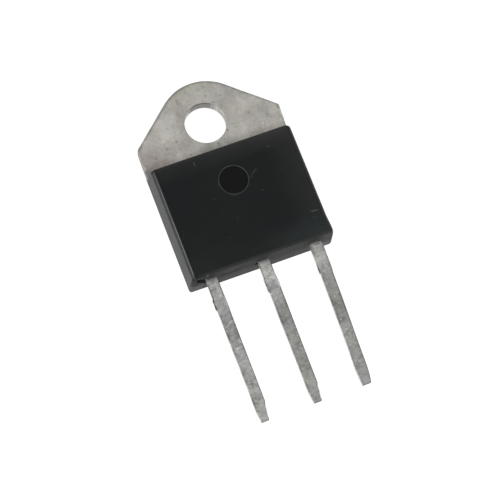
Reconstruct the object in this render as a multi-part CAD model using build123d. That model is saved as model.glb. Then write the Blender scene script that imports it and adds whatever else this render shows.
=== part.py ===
from build123d import *
import math
import os

os.makedirs("parts", exist_ok=True)

# Triac in a flat three-lead power package (TOP-3 outline), lying on its mounting face.
# Millimetres. The origin is the centre of the mounting hole on the mounting (back) plane:
#   +X to the right seen from the front, +Y from the leads towards the tab's round end,
#   +Z out of the front face.

# ---------------------------------------------------------------- driving dimensions
# package
PKG_THICK = 4.50          # back plane to front face
BODY_BACK_RECESS = 0.05   # the plastic back stands this far above the metal back plane
BODY_HALF_W_BACK = 7.68   # half width of the moulding at the back plane
SIDE_DRAFT_DEG = 2.9      # draft of the two long sides
BODY_TOP_Y = -3.53        # end wall of the moulding where it leaves the tab's front face
TOP_DRAFT_DEG = 7.0       # draft of that end wall
BODY_BOTTOM_Y = -16.06    # lead-side wall at the back plane
BOTTOM_DRAFT_DEG = 0.5    # draft of the lead-side wall
BODY_CORNER_R = 0.28      # upright corners of the moulding
FACE_EDGE_R = 0.22        # rounding of the front face all round
SIDE_SHOULDER_Z = 3.75    # the long sides lean in more steeply above this height
SIDE_SHOULDER_IN = 0.22   # and come in by this much before the rounded edge
MARK_Y = -7.58            # centre of the round ejector-pin mark
MARK_R = 1.50             # radius of that mark
MARK_DEPTH = 0.04         # depth of its rim groove
MARK_GROOVE_W = 0.12      # width of its rim groove

# header (mounting tab and heat spreader, one stamped copper plate)
TAB_THICK = 1.50
HOLE_R = 2.18
TAB_TOP_R = 5.17          # round end
TAB_TOP_C_Y = -0.57       # its centre
TAB_SLOPE_NX = 0.6595     # outward normal of the sloped shoulders (X part)
TAB_SLOPE_NY = 0.7517     # outward normal of the sloped shoulders (Y part)
TAB_SLOPE_D = 4.7407      # distance of those edges from the hole centre
TAB_LEFT_X = (-7.58, -7.68)   # sheared left edge: at the shoulder, at the moulding
TAB_RIGHT_X = (7.87, 7.74)    # sheared right edge: at the shoulder, at the moulding
TAB_SHOULDER_R = (0.40, 0.12)     # left and right corners
TAB_ROLL_R = 0.10         # rolled front edge left by stamping
HOLE_ROLL_R = 0.08
HDR_IN_HALF_W = 6.75      # heat spreader inside the moulding, keyed flange
HDR_BACK_HALF_W = 6.35    # exposed width at the back
HDR_KEY_Z = 0.85          # height of the key under the flange
HDR_END_Y = -14.40        # flange end inside the moulding
HDR_BACK_END_Y = -14.00   # exposed end at the back

# leads, cut from one 0.6 mm frame
LEAD_Z = 2.20             # underside of the leads
LEAD_T = 0.60
LEAD_PITCH = 5.57
LEAD_ROW_X = 0.11
LEAD_W = 1.20
LEAD_ROOT_W = 1.19
LEAD_BAR_W = 1.40         # stubs left by the trimmed dam bar
LEAD_BAR_Y = (-17.85, -19.22)
LEAD_TIP_Y = -31.25
LEAD_TAPER_Y = -29.45
LEAD_TIP_HALF = (0.48, 0.36)      # left and right half width at the tip
LEAD_LEAN_DEG = (-0.23, -0.50, -2.00)   # sideways lean of each lead, tip towards -X

# insulated stack on the header
SOLDER_T = 0.05
CERAMIC_T = 0.60
CERAMIC = (-5.60, 5.60, -13.00, -4.55)   # x0, x1, y0, y1
PAD = (-4.55, 4.55, -12.45, -5.10)       # die pad of the centre lead
DIE = (-3.40, 3.40, -11.95, -5.65)
DIE_T = 0.30
CLIP_T = 0.40

LEAD_TOP = LEAD_Z + LEAD_T
Z_CER0 = TAB_THICK + SOLDER_T
Z_CER1 = Z_CER0 + CERAMIC_T
Z_DIE0 = LEAD_TOP + SOLDER_T
Z_DIE1 = Z_DIE0 + DIE_T
Z_CLIP0 = Z_DIE1 + SOLDER_T


# ---------------------------------------------------------------- small helpers
def slab(x0, x1, y0, y1, z0, z1):
    """Rectangular block between two corners."""
    return Pos((x0 + x1) / 2, (y0 + y1) / 2, (z0 + z1) / 2) * Box(
        x1 - x0, y1 - y0, z1 - z0
    )


def plate(points, z0, z1):
    """Flat plate with a polygonal outline between two heights."""
    face = make_face(Polyline(*points, close=True))
    return extrude(Pos(0, 0, z0) * face, z1 - z0)


def face_of(*edges):
    return make_face(list(edges))


# ---------------------------------------------------------------- header
def shoulder(x):
    """Height of the sloped shoulder edge at |x|."""
    return (TAB_SLOPE_D - abs(x) * TAB_SLOPE_NX) / TAB_SLOPE_NY


tan_x = TAB_TOP_R * TAB_SLOPE_NX
tan_y = TAB_TOP_C_Y + TAB_TOP_R * TAB_SLOPE_NY
tab_in_y = -4.10          # the full-width shoulders end just inside the moulding
arc = ThreePointArc(
    (-tan_x, tan_y), (0, TAB_TOP_C_Y + TAB_TOP_R), (tan_x, tan_y)
)
edge = Polyline(
    (tan_x, tan_y),
    (TAB_RIGHT_X[0], shoulder(TAB_RIGHT_X[0])),
    (TAB_RIGHT_X[1], BODY_TOP_Y),
    (TAB_RIGHT_X[1] - 0.75, tab_in_y),
    (-(HDR_IN_HALF_W + 0.15), tab_in_y),
    (TAB_LEFT_X[1], BODY_TOP_Y),
    (TAB_LEFT_X[0], shoulder(TAB_LEFT_X[0])),
    (-tan_x, tan_y),
)
tab_plan = make_face([arc, *edge.edges()])
for side, radius in zip((-1, 1), TAB_SHOULDER_R):
    tab_plan = fillet(
        [v for v in tab_plan.vertices() if side * v.X > 7.4 and v.Y > -1.0],
        radius,
    )
tab_blank = extrude(tab_plan, TAB_THICK)
bore = Cylinder(
    HOLE_R, TAB_THICK * 3, align=(Align.CENTER, Align.CENTER, Align.CENTER)
)
tab_blank = tab_blank - bore

# rolled edges: along the exposed outline and round the hole, front side only
front_edges = [
    e
    for e in tab_blank.edges()
    if abs(e.center().Z - TAB_THICK) < 1e-6
    and e.bounding_box().min.Y > BODY_TOP_Y - 0.05
    and (e.bounding_box().size.X > 1.0 or e.center().Y > BODY_TOP_Y + 0.3)
]
hole_edge = [
    e
    for e in front_edges
    if e.geom_type == GeomType.CIRCLE and abs(e.radius - HOLE_R) < 1e-3
]
outline_edges = [e for e in front_edges if e not in hole_edge]
tab_blank = fillet(outline_edges, TAB_ROLL_R)
hole_edge = [
    e
    for e in tab_blank.edges()
    if abs(e.center().Z - TAB_THICK) < 1e-6
    and e.geom_type == GeomType.CIRCLE
    and abs(e.radius - HOLE_R) < 1e-3
]
tab_blank = fillet(hole_edge, HOLE_ROLL_R)

# heat spreader inside the moulding: an exposed back and a wider flange above it that
# the plastic wraps round, so that the two can't separate
spreader = slab(
    -HDR_BACK_HALF_W, HDR_BACK_HALF_W, HDR_BACK_END_Y, tab_in_y + 0.5, 0, HDR_KEY_Z
) + slab(
    -HDR_IN_HALF_W, HDR_IN_HALF_W, HDR_END_Y, tab_in_y + 0.5, HDR_KEY_Z, TAB_THICK
)
header = tab_blank + spreader

# ---------------------------------------------------------------- leads
def lead_outline(k):
    """Plan outline of the exposed part of lead k, anticlockwise from the left root."""
    xc = LEAD_ROW_X + (k - 1) * LEAD_PITCH
    y0 = BODY_BOTTOM_Y + 0.30
    lean = math.tan(math.radians(LEAD_LEAN_DEG[k]))
    y_bend = BODY_BOTTOM_Y - 0.10

    def at(side, half, y):
        shift = lean * max(0.0, y_bend - y)
        return (xc + shift + side * half, y)

    r, b, w = LEAD_ROOT_W / 2, LEAD_BAR_W / 2, LEAD_W / 2
    stations = [
        (r, r, y0),
        (r, r, LEAD_BAR_Y[0] + 0.03),
        (b, b, LEAD_BAR_Y[0] - 0.03),
        (b, b, LEAD_BAR_Y[1] + 0.03),
        (w, w, LEAD_BAR_Y[1] - 0.03),
        (w, w, LEAD_TAPER_Y),
        (LEAD_TIP_HALF[0] + 0.03, LEAD_TIP_HALF[1] + 0.05, LEAD_TIP_Y + 0.16),
        (LEAD_TIP_HALF[0] - 0.10, LEAD_TIP_HALF[1] - 0.08, LEAD_TIP_Y),
    ]
    left = [at(-1, s[0], s[2]) for s in stations]
    right = [at(1, s[1], s[2]) for s in stations]
    return left + right[::-1]


lead_solids = []
for k in range(3):
    solid = plate(lead_outline(k), LEAD_Z, LEAD_TOP)
    # the cut side leaves a slightly rolled upper edge on the long straight sides
    rolled = [
        e
        for e in solid.edges()
        if abs(e.center().Z - LEAD_TOP) < 1e-6
        and e.length > 5.0
        and abs(e.tangent_at(0.5).Y) > 0.9
    ]
    lead_solids.append(fillet(rolled, 0.05))

x1 = LEAD_ROW_X - LEAD_PITCH
x2 = LEAD_ROW_X
x3 = LEAD_ROW_X + LEAD_PITCH
y_root = BODY_BOTTOM_Y + 0.30

# inner post of the left lead (main terminal 1)
post_1 = plate(
    [
        (x1 - LEAD_ROOT_W / 2, y_root),
        (x1 + LEAD_ROOT_W / 2, y_root),
        (x1 + LEAD_ROOT_W / 2, -15.35),
        (-4.25, -15.05),
        (-4.25, -13.20),
        (-6.55, -13.20),
        (-6.55, -15.05),
        (x1 - LEAD_ROOT_W / 2, -15.35),
    ],
    LEAD_Z,
    LEAD_TOP,
)
# centre lead (main terminal 2): neck and die pad in one piece with it
post_2 = plate(
    [
        (x2 - LEAD_ROOT_W / 2, y_root),
        (x2 + LEAD_ROOT_W / 2, y_root),
        (x2 + LEAD_ROOT_W / 2, -15.10),
        (x2 + 1.10, -14.50),
        (x2 + 1.10, PAD[2]),
        (PAD[1], PAD[2]),
        (PAD[1], PAD[3]),
        (PAD[0], PAD[3]),
        (PAD[0], PAD[2]),
        (x2 - 1.10, PAD[2]),
        (x2 - 1.10, -14.50),
        (x2 - LEAD_ROOT_W / 2, -15.10),
    ],
    LEAD_Z,
    LEAD_TOP,
)
# inner post of the right lead (gate)
post_3 = plate(
    [
        (x3 - LEAD_ROOT_W / 2, y_root),
        (x3 + LEAD_ROOT_W / 2, y_root),
        (x3 + LEAD_ROOT_W / 2, -15.35),
        (6.60, -15.05),
        (6.60, -13.20),
        (4.55, -13.20),
        (4.55, -15.05),
        (x3 - LEAD_ROOT_W / 2, -15.35),
    ],
    LEAD_Z,
    LEAD_TOP,
)
lead_main_1 = lead_solids[0] + post_1
lead_main_2 = lead_solids[1] + post_2
lead_gate = lead_solids[2] + post_3

# ---------------------------------------------------------------- insulated stack
insulator_solder = slab(
    CERAMIC[0] + 0.3, CERAMIC[1] - 0.3, CERAMIC[2] + 0.3, CERAMIC[3] - 0.3,
    TAB_THICK, Z_CER0,
)
ceramic_insulator = slab(*CERAMIC, Z_CER0, Z_CER1)
frame_solder = slab(
    PAD[0] + 0.1, PAD[1] - 0.1, PAD[2] + 0.1, PAD[3] - 0.1, Z_CER1, LEAD_Z
)
die_solder = slab(DIE[0], DIE[1], DIE[2], DIE[3], LEAD_TOP, Z_DIE0)
silicon_die = slab(*DIE, Z_DIE0, Z_DIE1)

# main terminal 1 contact: covers the die but leaves its lower right corner to the gate
contact = (-2.70, 1.60, -11.30, -6.30)
main_1_contact_solder = slab(*contact, Z_DIE1, Z_CLIP0)
arm_x = (-6.05, -4.65)


def clip_arm(x0, x1, y_start, t):
    """Strip that runs towards the leads, steps down beside the die pad and lands
    on a lead's inner post."""
    z_foot = LEAD_TOP + SOLDER_T
    side = [
        (y_start, Z_CLIP0),
        (-12.75, Z_CLIP0),
        (-13.45, z_foot),
        (-14.90, z_foot),
        (-14.90, z_foot + t),
        (-13.60, z_foot + t),
        (-12.90, Z_CLIP0 + t),
        (y_start, Z_CLIP0 + t),
    ]
    profile = make_face(
        Polyline(*[(x0, y, z) for y, z in side], close=True)
    )
    return extrude(profile, x1 - x0, dir=(1, 0, 0))


main_1_clip = slab(
    arm_x[0], contact[1], contact[2], contact[3], Z_CLIP0, Z_CLIP0 + CLIP_T
) + clip_arm(arm_x[0], arm_x[1], contact[2] + 0.5, CLIP_T)
main_1_lead_solder = slab(
    arm_x[0] + 0.1, arm_x[1] - 0.1, -14.80, -13.55, LEAD_TOP, LEAD_TOP + SOLDER_T
)

# gate contact at the die's lower right corner
gate_t = 0.30
gate_contact_solder = slab(2.15, 3.00, -11.70, -10.90, Z_DIE1, Z_CLIP0)
gate_arm_x = (5.15, 6.00)
gate_clip = slab(
    2.15, gate_arm_x[1], -11.70, -10.90, Z_CLIP0, Z_CLIP0 + gate_t
) + clip_arm(gate_arm_x[0], gate_arm_x[1], -11.30, gate_t)
gate_lead_solder = slab(
    gate_arm_x[0] + 0.1, gate_arm_x[1] - 0.1, -14.80, -13.55,
    LEAD_TOP, LEAD_TOP + SOLDER_T,
)

# ---------------------------------------------------------------- moulded body
def body_half_w(z):
    lean = SIDE_SHOULDER_IN / (PKG_THICK - FACE_EDGE_R - SIDE_SHOULDER_Z)
    return (
        BODY_HALF_W_BACK
        - z * math.tan(math.radians(SIDE_DRAFT_DEG))
        - max(0.0, z - SIDE_SHOULDER_Z) * lean
    )


def body_top_y(z):
    # the end wall leans back above the tab's front face and is upright below it
    return BODY_TOP_Y - max(0.0, z - TAB_THICK) * math.tan(
        math.radians(TOP_DRAFT_DEG)
    )


def body_bottom_y(z):
    return BODY_BOTTOM_Y + z * math.tan(math.radians(BOTTOM_DRAFT_DEG))


def body_section(z):
    """Plan of the moulding at height z, with round corners."""
    w = body_half_w(z)
    y0, y1 = body_bottom_y(z), body_top_y(z)
    sketch = Pos(0, (y0 + y1) / 2, z) * RectangleRounded(
        2 * w, y1 - y0, BODY_CORNER_R
    )
    return sketch


lower = loft([body_section(BODY_BACK_RECESS), body_section(TAB_THICK)], ruled=True)
middle = loft([body_section(TAB_THICK), body_section(SIDE_SHOULDER_Z)], ruled=True)
upper = loft([body_section(SIDE_SHOULDER_Z), body_section(PKG_THICK)], ruled=True)
body_blank = lower + middle + upper
top_edges = [e for e in body_blank.edges() if e.bounding_box().min.Z > PKG_THICK - 1e-4]
body_blank = fillet(top_edges, FACE_EDGE_R)

# ejector-pin mark: a shallow round groove in the front face
groove = Pos(0, MARK_Y, PKG_THICK - MARK_DEPTH) * extrude(
    Circle(MARK_R) - Circle(MARK_R - MARK_GROOVE_W), MARK_DEPTH * 2
)
body_blank = body_blank - groove

inner = [
    header,
    lead_main_1,
    lead_main_2,
    lead_gate,
    insulator_solder,
    ceramic_insulator,
    frame_solder,
    die_solder,
    silicon_die,
    main_1_contact_solder,
    main_1_clip,
    main_1_lead_solder,
    gate_contact_solder,
    gate_clip,
    gate_lead_solder,
]
moulded_body = body_blank
for piece in inner:
    moulded_body = moulded_body - piece

# ---------------------------------------------------------------- write the pieces
NODES = {
    "moulded_body": moulded_body,
    "heatsink_tab": header,
    "insulator_solder": insulator_solder,
    "ceramic_insulator": ceramic_insulator,
    "frame_solder": frame_solder,
    "lead_main_2": lead_main_2,
    "die_solder": die_solder,
    "silicon_die": silicon_die,
    "main_1_contact_solder": main_1_contact_solder,
    "main_1_clip": main_1_clip,
    "main_1_lead_solder": main_1_lead_solder,
    "lead_main_1": lead_main_1,
    "gate_contact_solder": gate_contact_solder,
    "gate_clip": gate_clip,
    "gate_lead_solder": gate_lead_solder,
    "lead_gate": lead_gate,
}
for name, shape in NODES.items():
    solids = shape.solids()
    assert len(solids) == 1, (name, len(solids))
    out = solids[0]
    out.label = name
    export_step(out, f"parts/{name}.step")
    print(name, round(out.volume, 3), "mm3")
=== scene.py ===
import math

import bpy
import bmesh
import numpy as np
from mathutils import Matrix, Vector, noise
from mathutils.geometry import delaunay_2d_cdt


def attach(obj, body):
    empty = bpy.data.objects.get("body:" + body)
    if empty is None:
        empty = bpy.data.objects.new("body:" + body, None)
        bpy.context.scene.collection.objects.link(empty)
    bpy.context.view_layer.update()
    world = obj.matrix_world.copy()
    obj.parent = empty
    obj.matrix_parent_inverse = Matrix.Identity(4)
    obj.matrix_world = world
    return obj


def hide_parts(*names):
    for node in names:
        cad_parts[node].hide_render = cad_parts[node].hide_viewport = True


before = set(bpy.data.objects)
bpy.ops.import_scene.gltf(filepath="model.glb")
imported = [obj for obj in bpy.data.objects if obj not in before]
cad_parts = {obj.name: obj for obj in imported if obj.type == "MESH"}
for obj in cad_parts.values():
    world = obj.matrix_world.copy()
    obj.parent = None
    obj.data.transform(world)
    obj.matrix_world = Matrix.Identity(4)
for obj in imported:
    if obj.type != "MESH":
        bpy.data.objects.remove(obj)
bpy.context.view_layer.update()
scene = bpy.context.scene
MM = 0.001

# Everything below is worked out in millimetres in the CAD frame and scaled once, in
# make_mesh: the origin is the centre of the mounting hole on the back plane, +Y runs
# towards the round end of the tab, +Z out of the moulding's front face.

# ------------------------------------------------------------------ plan helpers


def fbm(x, y, z, octaves=3):
    v, a, s = 0.0, 1.0, 0.0
    for _ in range(octaves):
        v += a * noise.noise(Vector((x, y, z)))
        s += a
        a *= 0.5
        x, y, z = x * 2.03 + 7.1, y * 2.03 + 3.7, z * 2.03 + 1.3
    return v / s


def smooth(e0, e1, x):
    t = min(1.0, max(0.0, (x - e0) / (e1 - e0)))
    return t * t * (3 - 2 * t)


def rounded(points, radii, step=0.05):
    """Closed outline with each corner replaced by an arc."""
    out = []
    n = len(points)
    for i in range(n):
        p = np.array(points[i], float)
        a = np.array(points[i - 1], float)
        b = np.array(points[(i + 1) % n], float)
        r = radii[i]
        u = (a - p) / np.linalg.norm(a - p)
        v = (b - p) / np.linalg.norm(b - p)
        cosang = float(np.clip(np.dot(u, v), -1, 1))
        ang = math.acos(cosang)
        if r <= 0 or ang > math.pi - 0.02:
            out.append(tuple(p))
            continue
        t = r / math.tan(ang / 2)
        t_max = 0.48 * min(np.linalg.norm(a - p), np.linalg.norm(b - p))
        if t > t_max:
            t = t_max
            r = t * math.tan(ang / 2)
        bis = (u + v) / np.linalg.norm(u + v)
        c = p + bis * (r / math.sin(ang / 2))
        s = p + u * t - c
        e = p + v * t - c
        turn = math.pi - ang
        k = max(3, int(math.ceil(turn * r / step)))
        cross = s[0] * e[1] - s[1] * e[0]
        sign = 1.0 if cross > 0 else -1.0
        for j in range(k + 1):
            w = sign * turn * j / k
            out.append((
                c[0] + s[0] * math.cos(w) - s[1] * math.sin(w),
                c[1] + s[0] * math.sin(w) + s[1] * math.cos(w),
            ))
    return out


def resample(points, spacing):
    """Divides the edges of a closed outline so that none is longer than spacing
    (a number, or a function of the edge's middle)."""
    out = []
    n = len(points)
    for i in range(n):
        a = np.array(points[i], float)
        b = np.array(points[(i + 1) % n], float)
        d = float(np.linalg.norm(b - a))
        if d < 1e-6:
            continue
        s = spacing((a + b) / 2) if callable(spacing) else spacing
        k = max(1, int(math.ceil(d / s)))
        for j in range(k):
            out.append(tuple(a + (b - a) * (j / k)))
    return np.array(out)


def normals(loop):
    """Outward normals of an anticlockwise outline (into the gap for a clockwise one)."""
    prev = np.roll(loop, 1, axis=0)
    nxt = np.roll(loop, -1, axis=0)
    t1 = loop - prev
    t2 = nxt - loop
    t1 /= np.linalg.norm(t1, axis=1)[:, None]
    t2 /= np.linalg.norm(t2, axis=1)[:, None]
    t = t1 + t2
    t /= np.maximum(np.linalg.norm(t, axis=1), 1e-9)[:, None]
    return np.stack([t[:, 1], -t[:, 0]], axis=1)


def inside(points, loop):
    """Even-odd test of many points against one closed outline."""
    x, y = points[:, 0], points[:, 1]
    res = np.zeros(len(points), bool)
    n = len(loop)
    for i in range(n):
        x0, y0 = loop[i]
        x1, y1 = loop[(i + 1) % n]
        if y0 == y1:
            continue
        cond = (y0 > y) != (y1 > y)
        if not cond.any():
            continue
        xi = (x1 - x0) * (y - y0) / (y1 - y0) + x0
        res ^= cond & (x < xi)
    return res


def scatter(outer, holes, spacing, clear, keep_off=(), seed=3):
    """Slightly uneven triangular lattice inside an outline."""
    rng = np.random.RandomState(seed)
    lo, hi = outer.min(0), outer.max(0)
    pts = []
    rows = int((hi[1] - lo[1]) / (spacing * 0.866)) + 1
    cols = int((hi[0] - lo[0]) / spacing) + 2
    for r in range(rows):
        for c in range(cols):
            pts.append((
                lo[0] + (c + 0.5 * (r % 2)) * spacing,
                lo[1] + (r + 0.5) * spacing * 0.866,
            ))
    pts = np.array(pts) + rng.uniform(-0.12, 0.12, (len(pts), 2)) * spacing
    ok = inside(pts, outer)
    for h in holes:
        ok &= ~inside(pts, h)
    pts = pts[ok]
    edge = np.concatenate([outer, *holes, *keep_off])
    good = np.ones(len(pts), bool)
    for i in range(0, len(pts), 512):
        d = np.sqrt(((pts[i:i + 512, None, :] - edge[None, :, :]) ** 2).sum(2)).min(1)
        good[i:i + 512] = d > clear
    return pts[good]


def cap(outer, holes, extra, loops):
    """Triangles of a flat cap. Returns indices into outer + holes + loops + extra."""
    parts = [outer, *holes, *loops, extra]
    coords = np.concatenate([p for p in parts if len(p)])
    edges = []
    base = 0
    for p in [outer, *holes, *loops]:
        n = len(p)
        edges += [(base + i, base + (i + 1) % n) for i in range(n)]
        base += n
    res = delaunay_2d_cdt([Vector(c) for c in coords], edges, [], 0, 1e-7, True)
    verts, _, faces, orig = res[0], res[1], res[2], res[3]
    if len(verts) != len(coords):
        print("cap: points", len(coords), "->", len(verts))
    for v, o in zip(verts, orig):
        if not o:
            raise RuntimeError(f"outline crosses itself near {v.x:.3f}, {v.y:.3f}")
    index = [o[0] for o in orig]
    tris = np.array([[index[i] for i in f] for f in faces if len(f) == 3])
    mid = coords[tris].mean(1)
    ok = inside(mid, outer)
    for h in holes:
        ok &= ~inside(mid, h)
    tris = tris[ok]
    a, b, c = coords[tris[:, 0]], coords[tris[:, 1]], coords[tris[:, 2]]
    area = (b[:, 0] - a[:, 0]) * (c[:, 1] - a[:, 1]) - (b[:, 1] - a[:, 1]) * (c[:, 0] - a[:, 0])
    flip = area < 0
    tris[flip] = tris[flip][:, ::-1]
    return tris


def closed_plate(outer_rings, hole_rings, top, bottom):
    """Watertight solid between stacks of rings that run from the back to the front.
    top and bottom are (interior points, loops, height function)."""
    verts, faces = [], []

    def add(ring):
        base = len(verts)
        verts.extend(map(tuple, ring))
        return base

    stacks = [outer_rings, *hole_rings]
    ends = []
    for rings in stacks:
        n = len(rings[0])
        bases = [add(r) for r in rings]
        for b0, b1 in zip(bases[:-1], bases[1:]):
            for i in range(n):
                j = (i + 1) % n
                faces.append((b0 + i, b0 + j, b1 + j, b1 + i))
        ends.append((bases[0], bases[-1], n))
    for which, (extra, loops, height) in ((1, top), (0, bottom)):
        rings = [s[-1] if which else s[0] for s in stacks]
        outer = np.array(rings[0])[:, :2]
        holes = [np.array(r)[:, :2] for r in rings[1:]]
        tris = cap(outer, holes, extra, loops)
        index = []
        for (b0, b1, n) in ends:
            b = b1 if which else b0
            index += list(range(b, b + n))
        for p in [*loops, extra]:
            if len(p):
                b = add([(x, y, height(x, y)) for x, y in p])
                index += list(range(b, b + len(p)))
        index = np.array(index)
        t = index[tris]
        if not which:
            t = t[:, ::-1]
        faces.extend(map(tuple, t.tolist()))
    return verts, faces


def make_mesh(name, verts, faces, material, angle=32):
    mesh = bpy.data.meshes.new(name)
    mesh.from_pydata([(x * MM, y * MM, z * MM) for x, y, z in verts], [], faces)
    mesh.validate()
    obj = bpy.data.objects.new(name, mesh)
    scene.collection.objects.link(obj)
    mesh.materials.append(material)
    finish_mesh(mesh, angle)
    return obj


def finish_mesh(mesh, angle):
    bm = bmesh.new()
    bm.from_mesh(mesh)
    open_edges = sum(1 for e in bm.edges if len(e.link_faces) != 2)
    vol = bm.calc_volume(signed=True)
    bm.free()
    print(f"{mesh.name}: {len(mesh.polygons)} faces, open edges {open_edges}, volume {vol * 1e9:.2f} mm3")
    mesh.polygons.foreach_set("use_smooth", [True] * len(mesh.polygons))
    mesh.set_sharp_from_angle(angle=math.radians(angle))


# ------------------------------------------------------------------ shader helpers


class Nodes:
    """Small shorthand for building node trees."""

    def __init__(self, name):
        self.mat = bpy.data.materials.new(name)
        self.mat.use_nodes = True
        self.tree = self.mat.node_tree
        self.tree.nodes.clear()
        self.out = self.tree.nodes.new("ShaderNodeOutputMaterial")
        self.bsdf = self.tree.nodes.new("ShaderNodeBsdfPrincipled")
        self.tree.links.new(self.bsdf.outputs[0], self.out.inputs[0])
        coord = self.tree.nodes.new("ShaderNodeTexCoord")
        self.pos = self.math3("SCALE", coord.outputs["Object"], scale=1000.0)
        sep = self.tree.nodes.new("ShaderNodeSeparateXYZ")
        self.link(self.pos, sep.inputs[0])
        self.x, self.y, self.z = sep.outputs

    def link(self, a, b):
        self.tree.links.new(a, b)

    def put(self, socket, value):
        if isinstance(value, bpy.types.NodeSocket):
            self.link(value, socket)
        else:
            socket.default_value = value

    def math(self, op, a, b=0.0, c=0.0, clamp=False):
        n = self.tree.nodes.new("ShaderNodeMath")
        n.operation = op
        n.use_clamp = clamp
        for s, v in zip(n.inputs, (a, b, c)):
            self.put(s, v)
        return n.outputs[0]

    def math3(self, op, a, b=(0, 0, 0), scale=1.0):
        n = self.tree.nodes.new("ShaderNodeVectorMath")
        n.operation = op
        self.put(n.inputs[0], a)
        if op == "SCALE":
            n.inputs["Scale"].default_value = scale
        else:
            self.put(n.inputs[1], b)
        return n.outputs["Value"] if op in ("DISTANCE", "LENGTH", "DOT_PRODUCT") else n.outputs["Vector"]

    def add(self, a, b):
        return self.math("ADD", a, b)

    def sub(self, a, b):
        return self.math("SUBTRACT", a, b)

    def mul(self, a, b):
        return self.math("MULTIPLY", a, b)

    def mx(self, a, b):
        return self.math("MAXIMUM", a, b)

    def mn(self, a, b):
        return self.math("MINIMUM", a, b)

    def step(self, e0, e1, v):
        """Smooth step from 0 at e0 to 1 at e1 (e0 may be the larger)."""
        n = self.tree.nodes.new("ShaderNodeMapRange")
        n.interpolation_type = "SMOOTHSTEP"
        n.clamp = True
        self.put(n.inputs["Value"], v)
        lo, hi, t0, t1 = (e0, e1, 0.0, 1.0) if e0 < e1 else (e1, e0, 1.0, 0.0)
        n.inputs["From Min"].default_value = lo
        n.inputs["From Max"].default_value = hi
        n.inputs["To Min"].default_value = t0
        n.inputs["To Max"].default_value = t1
        return n.outputs["Result"]

    def remap(self, v, a, b, c, d):
        n = self.tree.nodes.new("ShaderNodeMapRange")
        n.clamp = True
        self.put(n.inputs["Value"], v)
        for s, k in zip(("From Min", "From Max", "To Min", "To Max"), (a, b, c, d)):
            n.inputs[s].default_value = k
        return n.outputs["Result"]

    def band(self, v, a, b, soft):
        return self.mul(self.step(a - soft, a + soft, v), self.step(b + soft, b - soft, v))

    def stretch(self, sx, sy, sz, shift=(0, 0, 0), turn=0.0):
        n = self.tree.nodes.new("ShaderNodeMapping")
        n.inputs["Location"].default_value = shift
        n.inputs["Rotation"].default_value = (0, 0, turn)
        n.inputs["Scale"].default_value = (sx, sy, sz)
        self.link(self.pos, n.inputs["Vector"])
        return n.outputs[0]

    def noise(self, scale, detail=3.0, rough=0.5, vec=None, distort=0.0, w=None):
        n = self.tree.nodes.new("ShaderNodeTexNoise")
        n.inputs["Scale"].default_value = scale
        n.inputs["Detail"].default_value = detail
        n.inputs["Roughness"].default_value = rough
        n.inputs["Distortion"].default_value = distort
        self.link(vec or self.pos, n.inputs["Vector"])
        return n.outputs["Fac"]

    def voronoi(self, scale, feature="F1", vec=None, rand=1.0, out="Distance"):
        n = self.tree.nodes.new("ShaderNodeTexVoronoi")
        n.feature = feature
        n.inputs["Scale"].default_value = scale
        n.inputs["Randomness"].default_value = rand
        self.link(vec or self.pos, n.inputs["Vector"])
        return n.outputs[out]

    def mix(self, fac, a, b):
        n = self.tree.nodes.new("ShaderNodeMix")
        n.data_type = "RGBA"
        self.put(n.inputs[0], fac)
        self.put(n.inputs[6], a if isinstance(a, bpy.types.NodeSocket) else (*a, 1.0)[:4])
        self.put(n.inputs[7], b if isinstance(b, bpy.types.NodeSocket) else (*b, 1.0)[:4])
        return n.outputs[2]

    def tint(self, fac, a, b):
        """Multiplies colour a by colour b, to the extent of fac."""
        n = self.tree.nodes.new("ShaderNodeMix")
        n.data_type = "RGBA"
        n.blend_type = "MULTIPLY"
        self.put(n.inputs[0], fac)
        self.put(n.inputs[6], a)
        self.put(n.inputs[7], (*b, 1.0))
        return n.outputs[2]

    def screen(self, a, b):
        """1 - (1 - a)(1 - b)"""
        return self.sub(1.0, self.mul(self.sub(1.0, a), self.sub(1.0, b)))

    def box(self, x0, x1, y0, y1, soft):
        return self.mul(self.band(self.x, x0, x1, soft), self.band(self.y, y0, y1, soft))

    def lerp(self, fac, a, b):
        n = self.tree.nodes.new("ShaderNodeMix")
        n.data_type = "FLOAT"
        self.put(n.inputs[0], fac)
        self.put(n.inputs[2], a)
        self.put(n.inputs[3], b)
        return n.outputs[0]

    def bump(self, height, distance, strength=1.0, below=None):
        """distance is the height's full range in millimetres."""
        n = self.tree.nodes.new("ShaderNodeBump")
        n.inputs["Strength"].default_value = strength
        n.inputs["Distance"].default_value = distance * MM
        self.put(n.inputs["Height"], height)
        if below is not None:
            self.link(below, n.inputs["Normal"])
        return n.outputs[0]

    def segment(self, p, q, width, wobble=0.0):
        """1 on a thin line from p to q in plan, fading out over its width and ends."""
        (x0, y0), (x1, y1) = p, q
        dx, dy = x1 - x0, y1 - y0
        ln = math.hypot(dx, dy)
        ux, uy = dx / ln, dy / ln
        px, py = self.sub(self.x, x0), self.sub(self.y, y0)
        along = self.add(self.mul(px, ux), self.mul(py, uy))
        across = self.sub(self.mul(py, ux), self.mul(px, uy))
        if wobble:
            across = self.add(across, self.mul(self.sub(self.noise(3.0, 1.0), 0.5), wobble))
        across = self.math("ABSOLUTE", across)
        line = self.step(width, width * 0.15, across)
        ends = self.mul(self.step(-0.1 * ln, 0.25 * ln, along), self.step(1.1 * ln, 0.7 * ln, along))
        return self.mul(line, ends)

    def blob(self, cx, cy, r, soft):
        d = self.math("SQRT", self.add(
            self.math("POWER", self.sub(self.x, cx), 2.0),
            self.math("POWER", self.sub(self.y, cy), 2.0),
        ))
        return self.step(r + soft, max(0.0, r - soft), d)

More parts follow.
